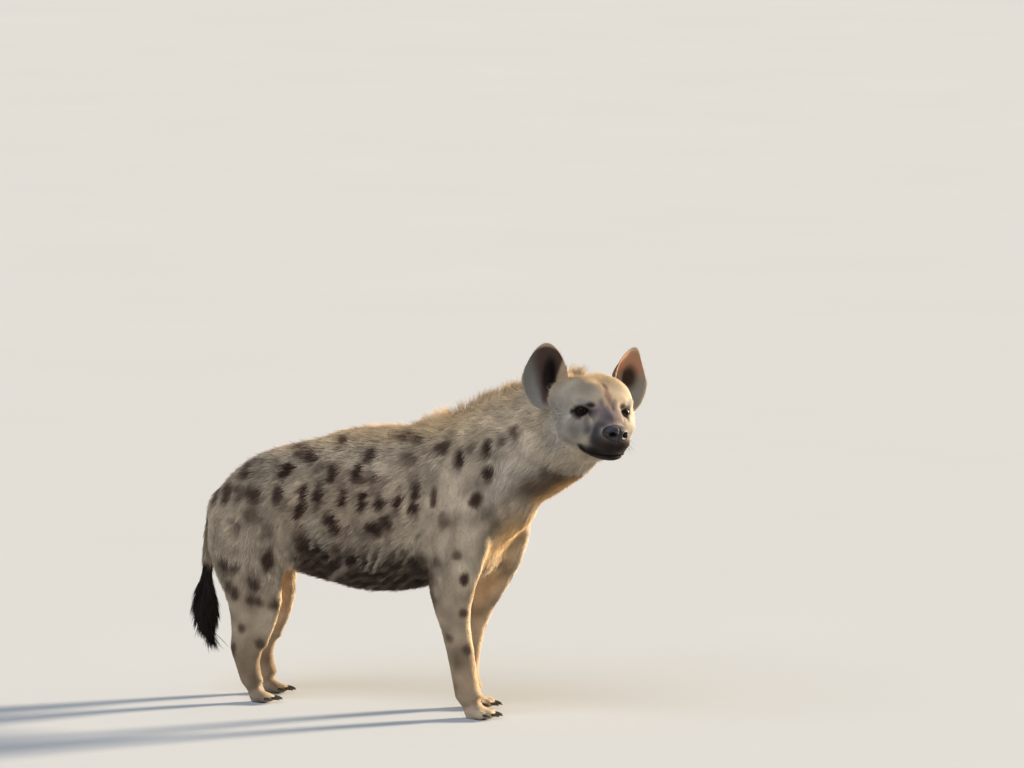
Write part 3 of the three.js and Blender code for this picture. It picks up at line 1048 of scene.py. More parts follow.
def crest_share(points: Array, normals: Array) -> Array:
    """How much a place belongs to the standing mane along the top of the neck, from 0 to 1.

    Args:
        points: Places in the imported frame.
        normals: The outward directions there.

    Returns:
        One share for each point.
    """
    torso = TORSO.read(points)
    x, y, z = torso.T
    middle = np.interp(x, [215, 405, 490, 565, 640], [0, -5, -14, -30, -60])
    along = ramp(130, 240, x) * ramp(650, 590, x)
    across = bump(y, middle, 44) * ramp(0.35, 0.8, normals[:, 2])
    return along * across * (z > 600)


def crown_share(head: Array) -> Array:
    """How much a place of the head's frame belongs to the tuft between the ears, from 0 to 1."""
    x, y, z = head.T
    return ramp(-160, -120, x) * ramp(-25, -75, x) * bump(y, 0, 42) * (z > 45)


def extra_depth(points: Array, normals: Array) -> Array:
    """Where the coat is deeper than its region says, in millimetres: mane, throat and belly.

    Args:
        points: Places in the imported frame.
        normals: The outward directions there.

    Returns:
        One depth for each point.
    """
    x, _, z = TORSO.read(points).T
    down = ramp(0.3, 0.9, -normals[:, 2])
    belly = 6 * down * ramp(-200, -120, x) * ramp(330, 240, x) * (z > 240)
    throat = 5 * down * ramp(380, 440, x) * (z > 450)
    return 24 * crest_share(points, normals) + belly + throat


# How the hair lies: a place in the animal's own frame, its second number the distance from the middle
# plane, and the way that the hair runs there.
TORSO_STROKES = (
    (-400, 40, 560, -0.8, 0.1, -0.6), (-300, 50, 620, -0.95, 0.1, -0.25), (-150, 50, 660, -1, 0.1, -0.1),
    (0, 50, 690, -1, 0.1, -0.1), (120, 50, 715, -1, 0.1, -0.2), (-200, 120, 540, -0.85, 0, -0.5),
    (-50, 130, 520, -0.85, 0, -0.5), (80, 130, 520, -0.8, 0, -0.6), (190, 120, 560, -0.6, 0, -0.75),
    (-150, 110, 400, -0.75, 0, -0.65), (0, 120, 380, -0.72, 0, -0.68), (120, 115, 380, -0.65, 0, -0.72),
    (-100, 30, 300, -0.95, 0, -0.2), (50, 30, 285, -0.95, 0, -0.2), (150, 30, 310, -0.95, 0, -0.2),
    (-380, 90, 540, -0.6, 0.1, -0.8), (-430, 60, 480, -0.4, 0.1, -0.9), (-440, 30, 400, -0.2, 0, -1),
    (-350, 130, 420, -0.35, 0, -0.9), (-260, 130, 420, -0.3, 0, -0.95), (-220, 110, 350, -0.15, 0, -1),
    (-310, 110, 250, -0.1, 0, -1), (-320, 110, 150, 0, 0, -1), (-320, 100, 80, 0.1, 0, -1),
    (280, 130, 600, -0.5, 0, -0.85), (300, 130, 500, -0.35, 0, -0.95), (300, 120, 400, -0.15, 0, -1),
    (270, 110, 250, 0, 0, -1), (290, 110, 120, 0, 0, -1), (345, 87, 40, 0.8, 0, -0.4),
    (260, 82, 40, 0.8, 0, -0.4), (-270, 83, 35, 0.8, 0, -0.4), (-320, 83, 35, 0.8, 0, -0.4),
    (380, 100, 640, -0.55, 0, -0.8), (470, 100, 690, -0.6, 0, -0.75), (560, 100, 720, -0.65, 0, -0.7),
    (300, 70, 740, -0.75, 0.1, -0.3), (420, 75, 780, -0.7, 0.1, -0.2), (540, 75, 820, -0.7, 0.1, -0.1),
    (300, 5, 770, 0.5, 0, 1), (400, 5, 800, 0.5, 0, 1), (500, 5, 840, 0.3, 0, 1), (570, 10, 860, 0.1, 0, 1),
    (480, 40, 560, -0.7, 0.1, -0.6), (560, 30, 620, -0.7, 0.1, -0.6), (400, 30, 480, -0.4, 0, -0.9),
    (410, 40, 430, -0.2, 0, -1), (370, 50, 360, -0.1, 0, -1), (-450, 0, 470, -0.2, 0, -1),
    (-478, 0, 300, 0, 0, -1), (-480, 0, 200, 0.05, 0, -1),
)
# The same on the head, in the head's frame.
HEAD_STROKES = (
    (85, 10, -20, -1, 0.1, 0.3), (55, 0, -5, -1, 0, 0.4), (30, 0, 25, -0.9, 0, 0.5), (0, 0, 45, -0.8, 0, 0.6),
    (-50, 0, 75, -1, 0, 0.1), (-110, 0, 80, -1, 0, -0.1), (70, 40, -60, -0.95, 0.1, -0.2),
    (98, 20, -72, -0.4, 0.9, -0.4), (80, 40, -82, -0.7, 0.3, -0.6), (98, 5, -112, -0.7, 0.1, -0.6),
    (60, 40, -105, -0.9, 0.1, -0.3), (20, 55, -50, -0.9, 0.3, -0.2), (-30, 80, -50, -0.8, 0.2, -0.55),
    (-70, 95, -60, -0.6, 0.1, -0.8), (-40, 60, -105, -0.8, 0, -0.5), (4, 50, 26, -0.6, 0.3, 0.7),
    (-12, 68, 0, -1, 0.2, -0.1), (6, 56, -24, -0.8, 0.3, -0.4), (26, 32, 0, -0.5, -0.2, 0.8),
    (-20, 50, 50, -0.7, 0.4, 0.5), (-50, 85, 20, -0.9, 0.3, 0.1), (-80, 85, 45, -0.6, 0.3, 0.7),
    (-130, 60, 40, -0.9, 0, -0.4),
)


class Comb:
    """Which way the hair lies, over the whole skin."""

    REACH = 38.0

    def __init__(self) -> None:
        """Lays out every stroke on both sides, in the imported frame."""
        at, along = [], []
        for axes, strokes in ((TORSO, TORSO_STROKES), (HEAD, HEAD_STROKES)):
            rows = np.array(strokes, float)
            at.append(axes.place(mirror(rows[:, :3])))
            along.append(axes.aim(mirror(rows[:, 3:])))
        self.at = np.concatenate(at)
        self.along = unit(np.concatenate(along))

    def lay(self, points: Array) -> Array:
        """The raw direction at each point, from the strokes near it.

        Args:
            points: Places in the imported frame.

        Returns:
            One unit vector for each point.
        """
        total = np.zeros_like(points)
        for at, along in zip(self.at, self.along):
            gap = ((points - at) ** 2).sum(1) / (self.REACH * MM) ** 2
            total += along / ((0.3 + gap) ** 2)[:, None]
        return unit(total)


# The ground colours of the body and of the head, with some painted shade and light where marked, mirrored and
# laid over each other in turn: the middle of a soft stroke, how far it reaches, its colour and its strength.
TORSO_SPRAYS = (
    ((0, 0, 730), (600, 110, 70), (212, 186, 146), 0.85),
    ((-330, 110, 430), (150, 80, 170), (170, 156, 138), 0.8),
    ((-60, 130, 500), (220, 70, 110), (172, 154, 132), 0.6),
    ((300, 130, 500), (110, 70, 150), (186, 171, 152), 0.6),
    ((450, 100, 650), (130, 70, 90), (202, 190, 174), 0.8),
    ((440, 95, 570), (70, 60, 70), (210, 203, 194), 0.6),
    # Painted shade under the jaw and down the lower neck.
    ((520, 60, 568), (105, 80, 46), (84, 66, 52), 0.92),
    ((590, 20, 610), (80, 80, 45), (86, 66, 50), 0.9),
    ((400, 20, 430), (80, 60, 90), (222, 180, 126), 0.85),
    ((300, 50, 330), (110, 40, 90), (192, 158, 116), 0.6),
    ((290, 100, 230), (90, 60, 120), (170, 151, 128), 0.7),
    ((290, 100, 90), (110, 70, 90), (148, 127, 104), 0.8),
    ((-300, 100, 230), (110, 70, 110), (154, 138, 118), 0.7),
    ((-310, 60, 300), (90, 30, 110), (184, 150, 110), 0.6),
    ((-310, 100, 80), (110, 70, 80), (122, 104, 86), 0.8),
    ((-460, 10, 420), (40, 50, 90), (110, 95, 79), 0.8),
)
HEAD_SPRAYS = (
    ((-70, 0, 70), (90, 70, 46), (186, 166, 134), 0.9),
    ((-110, 60, 50), (50, 50, 60), (178, 162, 138), 0.7),
    ((-44, 85, -34), (60, 44, 64), (172, 169, 163), 0.85),
    ((-80, 90, -90), (56, 44, 50), (178, 175, 170), 0.75),
    ((-15, 43, 58), (40, 34, 26), (150, 142, 135), 0.7),
    ((8, 74, -50), (28, 26, 28), (110, 107, 104), 0.8),
    ((15, 0, 38), (28, 9, 26), (126, 98, 84), 0.75),
    ((-25, 0, 66), (26, 10, 22), (134, 104, 84), 0.6),
    ((44, 18, 6), (26, 28, 24), (104, 95, 104), 0.85),
    ((36, 8, 22), (10, 6, 16), (72, 62, 68), 0.55),
    # Painted light: a pale grey band along the brow ridge, lit from above.
    ((2, 62, 25), (16, 18, 7), (152, 155, 157), 0.8),
    # Dark skin over the eye and at its inner corner, deepened as painted shade under the brow and in the
    # corner's hollow.
    ((14, 50, 17), (14, 12, 4.5), (66, 58, 60), 0.7),
    ((13, 42, 18), (11, 11, 8), (44, 36, 42), 0.96),
    # Painted shade below the eye, from its inner corner down the side of the bridge towards the muzzle.
    ((20, 41, -2), (9, 10, 10), (88, 82, 86), 0.85),
    ((14, 51, -18), (9, 10, 22), (108, 104, 104), 0.85),
    ((24, 50, -40), (10, 11, 16), (90, 86, 90), 0.85),
    ((24, 18, 26), (12, 10, 14), (124, 108, 102), 0.75),
    ((62, 24, -22), (15, 16, 8), (76, 72, 82), 0.9),
    ((-52, 82, 30), (40, 30, 30), (152, 149, 143), 0.6),
    ((-23, 76, -84), (20, 20, 20), (134, 124, 112), 0.7),
    ((58, 0, -14), (22, 36, 20), (76, 70, 78), 0.9),
    ((50, 42, -34), (21, 21, 24), (64, 63, 70), 0.94),
    ((66, 42, -62), (32, 24, 25), (54, 51, 55), 0.97),
    ((90, 12, -74), (24, 40, 28), (36, 29, 28), 0.98),
    ((56, 40, -91), (54, 28, 16), (24, 20, 21), 0.98),
    ((12, 56, -91), (19, 24, 13), (26, 21, 22), 0.96),
    ((92, 8, -106), (38, 38, 19), (29, 21, 19), 0.96),
    ((-14, 30, -120), (36, 50, 16), (104, 90, 78), 0.7),
    ((50, 36, -110), (54, 38, 18), (38, 30, 26), 0.95),
    ((8, 56, -93), (12, 16, 9), (40, 33, 34), 0.95),
)
# Spots on the animal's right side: x, z, half width, half height and strength.
SPOTS = (
    (-194, 653, 24, 13, 0.8), (-55, 664, 16, 14, 0.8), (129, 685, 42, 12, 0.6), (-331, 577, 18, 20, 0.75),
    (-370, 524, 16, 24, 0.8), (-414, 515, 14, 26, 0.7), (-201, 586, 24, 18, 1), (-141, 623, 16, 16, 0.9),
    (-171, 630, 14, 14, 0.7), (-58, 588, 17, 22, 0.95), (11, 595, 20, 22, 0.95), (38, 639, 16, 20, 0.85),
    (61, 585, 16, 18, 0.6), (147, 632, 20, 18, 0.55), (-288, 525, 17, 22, 0.85), (-215, 529, 14, 22, 0.8),
    (-144, 539, 14, 24, 0.95), (-94, 532, 14, 24, 0.95), (-25, 532, 14, 24, 1), (32, 525, 13, 24, 1),
    (80, 529, 12, 24, 1), (131, 525, 14, 26, 1), (175, 564, 12, 24, 0.9), (172, 517, 12, 22, 0.9),
    (224, 545, 9, 20, 0.8), (-333, 527, 15, 20, 0.55), (-147, 494, 18, 18, 1), (-62, 477, 17, 18, 1),
    (-47, 451, 18, 16, 0.9), (65, 457, 20, 20, 1), (99, 477, 18, 18, 0.95), (-291, 473, 16, 20, 0.5),
    (-329, 439, 15, 20, 0.45), (-241, 435, 16, 22, 0.5), (263, 490, 15, 18, 0.5), (-244, 363, 14, 26, 0.9),
    (-362, 344, 14, 16, 0.7), (-334, 341, 14, 16, 0.7), (-146, 418, 14, 30, 0.7), (-333, 277, 13, 16, 0.7),
    (-281, 303, 13, 15, 0.75), (-288, 262, 12, 14, 0.7), (-268, 258, 12, 13, 0.7), (-228, 249, 13, 15, 0.7),
    (-318, 191, 11, 14, 0.7), (-274, 150, 10, 13, 0.6), (-346, 134, 10, 13, 0.6), (-353, 288, 12, 14, 0.6),
    (239, 668, 20, 16, 0.8), (291, 645, 14, 20, 0.95), (365, 671, 12, 20, 0.9), (367, 614, 12, 20, 0.95),
    (342, 547, 13, 18, 0.9), (441, 719, 14, 12, 0.6), (404, 696, 12, 13, 0.6), (321, 671, 12, 14, 0.5),
    (300, 411, 12, 13, 0.6), (315, 352, 12, 14, 0.9), (242, 389, 12, 14, 0.5), (305, 262, 11, 12, 0.7),
    (269, 201, 10, 12, 0.6), (313, 172, 10, 12, 0.6),
)

# Pale locks over the dark of the belly: x and z of the top, of the low end, half width and strength.
LOCKS = (
    (-31, 358, -110, 306, 8, 0.8), (59, 416, 29, 350, 5, 0.95), (93, 420, 46, 346, 5, 0.95),
    (8, 440, 20, 350, 6, 0.8), (-121, 470, -115, 404, 7, 0.9), (-101, 468, -82, 402, 8, 0.9),
    (190, 458, 162, 400, 6, 1.0), (157, 404, 116, 352, 4, 0.6), (118, 436, 74, 372, 6, 0.7),
    (-182, 420, -165, 360, 6, 0.5), (-60, 440, -72, 372, 7, 0.55), (-20, 430, -30, 366, 6, 0.5),
    (140, 440, 118, 388, 6, 0.6),
)


class Markings:
    """The animal's colours anywhere on or above its skin, with painted light and shade in places."""

    GROUND = linear(192, 178, 158)
    SPOT = linear(56, 40, 34)
    BELLY = linear(46, 35, 29)
    LOCKS = linear(178, 168, 152)
    # Painted rim light: a golden glow for the underside of the throat.
    PAINTED_THROAT_GLOW = linear(232, 184, 122)
    # The pale mane hair, brightened to gold as painted backlight, and also the colour of painted sunlight
    # along the back.
    MANE_AND_PAINTED_SUN = linear(238, 206, 164)
    BRUSH = linear(34, 28, 26)
    EYE_SKIN = linear(36, 30, 32)
    LIP_LINE = linear(16, 13, 13)
    EAR_BACK = linear(112, 101, 88)
    EAR_FRONT = linear(144, 143, 138)
    EAR_STRIP = linear(190, 166, 142)
    # Painted shade inside the ear: a dark band down its inner fold, darkest in the deep of the bowl.
    EAR_FOLD_PAINTED_SHADE = linear(84, 68, 62)
    EAR_DEEP_PAINTED_SHADE = linear(32, 25, 24)
    EAR_RIM = linear(206, 190, 164)
    # The left ear alone: painted light through it from behind, and painted shade in its bowl.
    EAR_PAINTED_BACKLIGHT = linear(184, 142, 116)
    EAR_SHADE = linear(62, 48, 42)

    def __init__(self, skin: "Skin") -> None:
        """Lays out the spots of both sides. Those of the left are the right's, each moved a little.

        Args:
            skin: The finished skin.
        """
        self.skin = skin
        draw = np.random.default_rng(SEED)
        right = np.array(SPOTS, float)
        left = right.copy()
        left[:, :2] += draw.normal(0, 14, (len(left), 2))
        left[:, 2:4] *= draw.uniform(0.8, 1.2, (len(left), 2))
        self.spots = {-1: right, 1: left}
        self.edge = Ripple(SEED, 0.034)
        self.cloud = Ripple(SEED + 1, 0.12)
        self.streak = Ripple(SEED + 2, 0.028)
        self.mottle = Ripple(SEED + 3, 0.055)

    def spotted(self, points: Array, normals: Array) -> Array:
        """How dark the spots make each point, from 0 to 1.

        Args:
            points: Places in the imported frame.
            normals: The outward directions there.

        Returns:
            One share for each point.
        """
        x, y, z = TORSO.read(points).T
        dark = np.zeros(len(points))
        wobble = 0.19 * self.edge(points)
        above = ramp(0.35, 0.6, normals[:, 2]) * (z > 560)
        for side, rows in self.spots.items():
            facing = ramp(-0.1, 0.4, side * normals[:, 1]) * ramp(0, 25, side * y)
            facing = np.maximum(facing, above * ramp(12, 42, side * y))
            for sx, sz, wide, tall, strength in rows:
                gap = np.hypot((x - sx) / wide, (z - sz) / tall) + wobble
                dark = np.maximum(dark, strength * facing * ramp(1.7, 0.4, gap))
        flank = ramp(-420, -360, x) * ramp(260, 200, x) * ramp(400, 440, z)
        faint = 0.42 * ramp(0.5, 1.5, self.mottle(points)) * flank * ramp(700, 640, z)
        return np.maximum(dark, faint)

    def dark_belly(self, torso: Array, normals: Array) -> Array:
        """How much of the dark of belly and groin each point has, from 0 to 1.

        Args:
            torso: Points in the animal's own frame.
            normals: The outward directions there.

        Returns:
            One share for each point.
        """
        x, y, z = torso.T
        edge = np.interp(x, [-260, -170, -60, 60, 150, 240], [345, 450, 440, 425, 430, 400])
        along = ramp(-225, -150, x) * ramp(270, 190, x)
        under = ramp(0.2, 0.7, -normals[:, 2])
        leg = ramp(130, 180, x) * ramp(400, 350, z) * (y > 0)
        return along * np.maximum(ramp(edge + 12, edge - 50, z), under) * ramp(235, 280, z) * (1 - leg)

    def pale_locks(self, torso: Array) -> Array:
        """Pale locks that hang over the dark of the belly, from 0 to 1.

        Args:
            torso: Points in the animal's own frame.

        Returns:
            One share for each point.
        """
        x, _, z = torso.T
        share = np.zeros(len(x))
        for top_x, top_z, low_x, low_z, half, strength in LOCKS:
            along = np.array([low_x - top_x, low_z - top_z])
            rel = np.stack([x - top_x, z - top_z], 1)
            t = np.clip(rel @ along / (along @ along), 0, 1)
            gap = np.linalg.norm(rel - t[:, None] * along, axis=1) / (half * (1.25 - 0.7 * t))
            share = np.maximum(share, strength * ramp(1.5, 0.4, gap))
        return share

    def ear_colours(self, points: Array, normals: Array) -> Array:
        """The colour of an ear at each point, as light.

        Args:
            points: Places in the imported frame.
            normals: The outward directions there.

        Returns:
            One colour for each point.
        """
        ear = self.skin.ear
        head = HEAD.read(points)
        flips = np.where(head[:, 1] > 0, 1, -1)
        colour = np.tile(self.EAR_BACK, (len(points), 1))
        for side in SIDES.values():
            here = flips == side
            w, v = ear.read(head[here], side).T
            front = ramp(-0.15, 0.2, normals[here] @ HEAD.aim(ear.axes(side)[0]))
            half = np.interp(v, [-0.95, -0.5, 0.0, 0.5, 0.85], [0.10, 0.27, 0.44, 0.66, 0.62])
            gap = w + 0.07
            gap = np.where(gap > 0, gap / 1.25, gap) / half
            # Painted shade: a dark band down the inner fold, with the deep of the bowl darkest.
            dark = ramp(1.35, 0.35, gap) * ramp(-1.05, -0.85, gap) * ramp(-1.0, -0.7, v)
            dark = dark * ramp(1.05, 0.93, np.hypot(w, v))
            deep = ramp(1.15, 0.5, np.hypot((w + 0.17) / 0.36, (v - 0.02) / 0.66))
            inner = mix(self.EAR_FRONT, self.EAR_STRIP, ramp(-0.3, -0.5, w))
            inner = mix(mix(inner, self.EAR_FOLD_PAINTED_SHADE, dark), self.EAR_DEEP_PAINTED_SHADE, deep)
            # Only the left ear is painted as lit through from behind, with painted shade in its bowl, so the
            # two ears differ.
            if side > 0:
                deep = ramp(1.3, 0.45, np.hypot((w - 0.26) / 0.44, (v - 0.06) / 0.42))
                inner = mix(self.EAR_PAINTED_BACKLIGHT, self.EAR_FRONT, ramp(0.4, -0.1, v))
                inner = mix(inner, self.EAR_SHADE, deep)
            rim = ramp(0.9, 0.98, np.hypot(w, v + 0.04)) * ramp(-0.95, -0.7, v)
            colour[here] = mix(mix(colour[here], inner, front), self.EAR_RIM, 0.75 * rim)
        return colour

    def __call__(self, points: Array, normals: Array, on_ear: Array) -> Array:
        """The colour at each point, as light.

        Args:
            points: Places on or above the skin.
            normals: The skin's outward directions there.
            on_ear: Which of them belong to the ears.

        Returns:
            One colour for each point.
        """
        torso, head = TORSO.read(points), HEAD.read(points)
        x, z = torso[:, 0], torso[:, 2]
        on_head = ramp(-160, -120, head[:, 0]) * ramp(230, 200, np.linalg.norm(head, axis=1))
        colour = np.tile(self.GROUND, (len(points), 1))

        def lay(shade: Array, share: Array) -> None:
            """Puts a colour over what is there, mixed as seen."""
            colour[:] = mix(np.sqrt(colour), np.sqrt(shade), share) ** 2

        for axes, sprays, part in ((torso, TORSO_SPRAYS, 1 - on_head), (head, HEAD_SPRAYS, on_head)):
            for at, reach, shade, strength in sprays:
                rel = (np.abs(axes) * [0, 1, 0] + axes * [1, 0, 1] - at) / reach
                lay(linear(*shade), strength * np.exp(-((rel**2).sum(1) ** 1.5)) * part)
        uneven = (0.14 * self.cloud(points) + 0.12 * self.mottle(points)) * (1 - 0.6 * on_head)
        colour *= (1 + uneven)[:, None]
        # The mane and the tuft between the ears: pale hair, brightened as painted backlight.
        lay(self.MANE_AND_PAINTED_SUN, 0.85 * np.maximum(crest_share(points, normals), crown_share(head)))
        # Painted sunlight: where the back faces up, it is lightened towards the mane's colour.
        ridge = ramp(0.55, 0.9, normals[:, 2]) * ramp(-400, -250, x) * ramp(600, 650, z)
        lay(self.MANE_AND_PAINTED_SUN, 0.5 * ridge * (1 - on_head))
        # Painted rim light: the underside of the throat glows golden.
        throat = ramp(0.62, 0.92, -normals[:, 2]) * ramp(360, 420, x) * (z > 450)
        lay(self.PAINTED_THROAT_GLOW, 0.8 * throat * (1 - on_head))
        belly = self.dark_belly(torso, normals)
        lay(self.BELLY, np.clip(belly * (0.86 + 0.12 * self.streak(points)), 0, 1))
        lay(self.LOCKS, 0.9 * self.pale_locks(torso))
        lay(self.SPOT, self.spotted(points, normals) * (1 - on_head))
        lay(self.BRUSH, ramp(345, 315, z) * ramp(-435, -452, x))
        for lid in self.skin.lids:
            outside, far = lid.margin(head)
            lay(self.EYE_SKIN, ramp(23, 7, outside) * (far < 30) * (head[:, 0] > -50))
        mouth = bump(self.skin.mouth_distance(head), 0, 2.6) * (head[:, 0] > 4)
        lay(self.LIP_LINE, 0.9 * mouth * on_head * ramp(0.8, 0.5, np.abs(normals @ HEAD.turn[:, 2])))
        lay(self.LIP_LINE, in_nose(head, 1.04) * 1.0)
        if on_ear.any():
            colour[on_ear] = self.ear_colours(points[on_ear], normals[on_ear])
        return np.clip(colour, 0.004, 1)


@dataclass
class Growth:
    """What the coat needs to know at each vertex of the skin."""

    normals: Array
    lie: Array
    values: Array
    labels: Array


def coat_values(skin: Skin, normals: Array) -> Array:
    """Length, width, density and lift of the hair at each vertex of the skin.

    Args:
        skin: The finished skin.
        normals: Its outward directions.

    Returns:
        Four columns, in millimetres, tufts per square centimetre and degrees.
    """
    surface = skin.surface
    rows = np.array([[getattr(COATS[FLESH[n]], column) for column in COAT_COLUMNS] for n in FLESH])
    ear_row = np.array([getattr(EAR_COAT, column) for column in COAT_COLUMNS])
    values = surface.blur(np.where(skin.on_ear[:, None], ear_row, rows[skin.labels]), 10)
    points = surface.points
    head, torso = HEAD.read(points), TORSO.read(points)
    x, y, z = head.T
    near = ramp(175, 150, np.linalg.norm(head, axis=1)) * ~skin.on_ear
    outside, far = (np.array(part) for part in zip(*(lid.margin(head) for lid in skin.lids)))
    by_eye = ramp(40, 18, far.min(0))
    muzzle = near * ramp(0, 45, x)
    ruff = near * ramp(6, -50, x) * ramp(32, -22, z)
    fringe = near * bump(x, -88, 24) * bump(np.abs(y), 96, 22) * bump(z, 20, 36)
    chin = near * ramp(60, 90, x) * ramp(-100, -112, z)
    length, width, density, lift = values.T
    length = length * (1 - 0.45 * muzzle * (1 - chin)) * (1 - 0.45 * by_eye)
    length = length + (25 - length) * ruff
    length = length + (19.5 - length) * fringe
    width = width * (1 - 0.2 * muzzle) * (1 - 0.2 * by_eye) * (1 + 0.6 * ruff)
    density = density * (1 + 0.35 * muzzle + 0.5 * by_eye - 0.35 * ruff)
    lift = lift + (23 - lift) * ruff + 14 * chin + 16 * fringe
    on_lids = np.where(far < 1.5 * skin.face.eye_radius, outside, 99).min(0)
    density = np.where(on_lids < 7, 0, density)
    density = np.where(near > 0.5, density * ramp(2, 5, skin.mouth_distance(head)), density)
    density = np.where(in_nose(head, 1.06), 0, density)
    for share, hair, stand in ((crest_share(points, normals), 58, 54), (crown_share(head) * near, 18, 40)):
        length = length + (hair - length) * share
        lift = lift + (stand - lift) * share
        width = width + (1.1 - width) * share
        density = density * (1 + 0.35 * share)
    for side in SIDES.values():
        w, v = skin.ear.read(head, side).T
        here = skin.on_ear & (np.sign(y) == side)
        front = ramp(-0.15, 0.2, normals @ HEAD.aim(skin.ear.axes(side)[0]))
        edge = ramp(0.88, 0.97, np.hypot(w, v + 0.04))
        bare = front * (1 - edge) * ramp(-0.75, -0.4, w)
        density = np.where(here, density * (1 - 0.85 * bare) * (1 + 0.6 * edge), density)
        length = np.where(here, length + 8 * front * ramp(-0.4, -0.7, w), length)
        lift = np.where(here, lift + 6 * edge, lift)
    back = ramp(-430, -330, torso[:, 0]) * ramp(260, 180, torso[:, 0])
    back = back * ramp(0.45, 0.85, normals[:, 2]) * (torso[:, 2] > 560)
    length = length + 7 * back
    lift = lift + 13 * back
    down = ramp(0.3, 0.9, -normals[:, 2])
    under = down * ramp(-220, -150, torso[:, 0]) * ramp(350, 250, torso[:, 0]) * (torso[:, 2] > 230)
    throat = down * ramp(360, 440, torso[:, 0]) * (torso[:, 2] > 450) * (1 - near)
    length = length + 8 * under - 10 * throat
    lift = lift + 8 * under + 10 * throat
    density = density * (torso[:, 2] > 2.5)
    return np.stack([length, width, density, lift], 1)


def in_nose(head: Array, grow: float) -> Array:
    """Which points of the head's frame lie within the nose leather, grown by a factor.

    Args:
        head: Points in the head's frame.
        grow: The factor.

    Returns:
        Yes or no for each point.
    """
    pad = NosePad()
    rel = (head - pad.middle) / (np.array(pad.half) * grow)
    return (rel**2).sum(1) < 1


def grow_fields(skin: Skin) -> Growth:
    """Works out how the coat grows all over the skin.

    Args:
        skin: The finished skin.

    Returns:
        The fields.
    """
    surface = skin.surface
    normals = surface.normals()
    broad = unit(surface.blur(normals, 6))
    lie = Comb().lay(surface.points)
    for side in SIDES.values():
        facing, up, outward = (HEAD.aim(v) for v in skin.ear.axes(side))
        middle = HEAD.place(np.array(skin.ear.middle) * [1, side, 1])
        rel = (surface.points - middle) @ np.stack([up, outward], 1) / MM
        front = ramp(-0.1, 0.3, normals @ facing)[:, None]
        fan = unit(up + outward * (rel[:, 1:] + 25 * front) / 60)
        here = skin.on_ear & (np.sign(HEAD.read(surface.points)[:, 1]) == side)
        lie = np.where(here[:, None], fan, lie)
    for _ in range(3):
        lie = surface.blur(lie, 5)
        lie = unit(lie - (lie * normals).sum(1, keepdims=True) * normals)
    return Growth(broad, lie, coat_values(skin, broad), skin.labels)


def unwrap(points: Array, tris: Array) -> Array:
    """Unwraps a part of the skin by its own shape.

    Args:
        points: The skin's vertices.
        tris: The triangles of the part.

    Returns:
        A place on the map for each corner of each triangle.
    """
    used, index = np.unique(tris, return_inverse=True)
    mesh = bpy.data.meshes.new("chart")
    mesh.from_pydata(points[used].tolist(), [], index.reshape(-1, 3).tolist())
    thing = show("chart", mesh)
    bpy.context.view_layer.objects.active = thing
    thing.select_set(True)
    bpy.ops.object.mode_set(mode="EDIT")
    bpy.ops.mesh.select_all(action="SELECT")
    bpy.ops.uv.smart_project(angle_limit=math.radians(66), island_margin=0.004)
    bpy.ops.object.mode_set(mode="OBJECT")
    places = get_rows(mesh.uv_layers.active.data, "uv", 2)
    bpy.data.objects.remove(thing)
    bpy.data.meshes.remove(mesh)
    return places.reshape(-1, 3, 2)


@dataclass(frozen=True)
class TuftShape:
    """How tufts of one kind are built: their rings from root to tip, as shares of length and width."""

    steps: tuple[float, ...]
    widths: tuple[float, ...]


SHORT_TUFT = TuftShape((0.0,), (1.0,))
MIDDLE_TUFT = TuftShape((0.0, 0.5), (0.8, 0.85))
LONG_TUFT = TuftShape((0.0, 0.35, 0.72), (0.8, 1.0, 0.6))


@dataclass
class Roots:
    """Where tufts start and how each one grows."""

    at: Array
    normal: Array
    lie: Array
    values: Array
    chart: Array
    on_ear: bool

    def pick(self, chosen: Array) -> "Roots":
        """Only some of the roots."""
        rows = (self.at, self.normal, self.lie, self.values, self.chart)
        return Roots(*(part[chosen] for part in rows), self.on_ear)


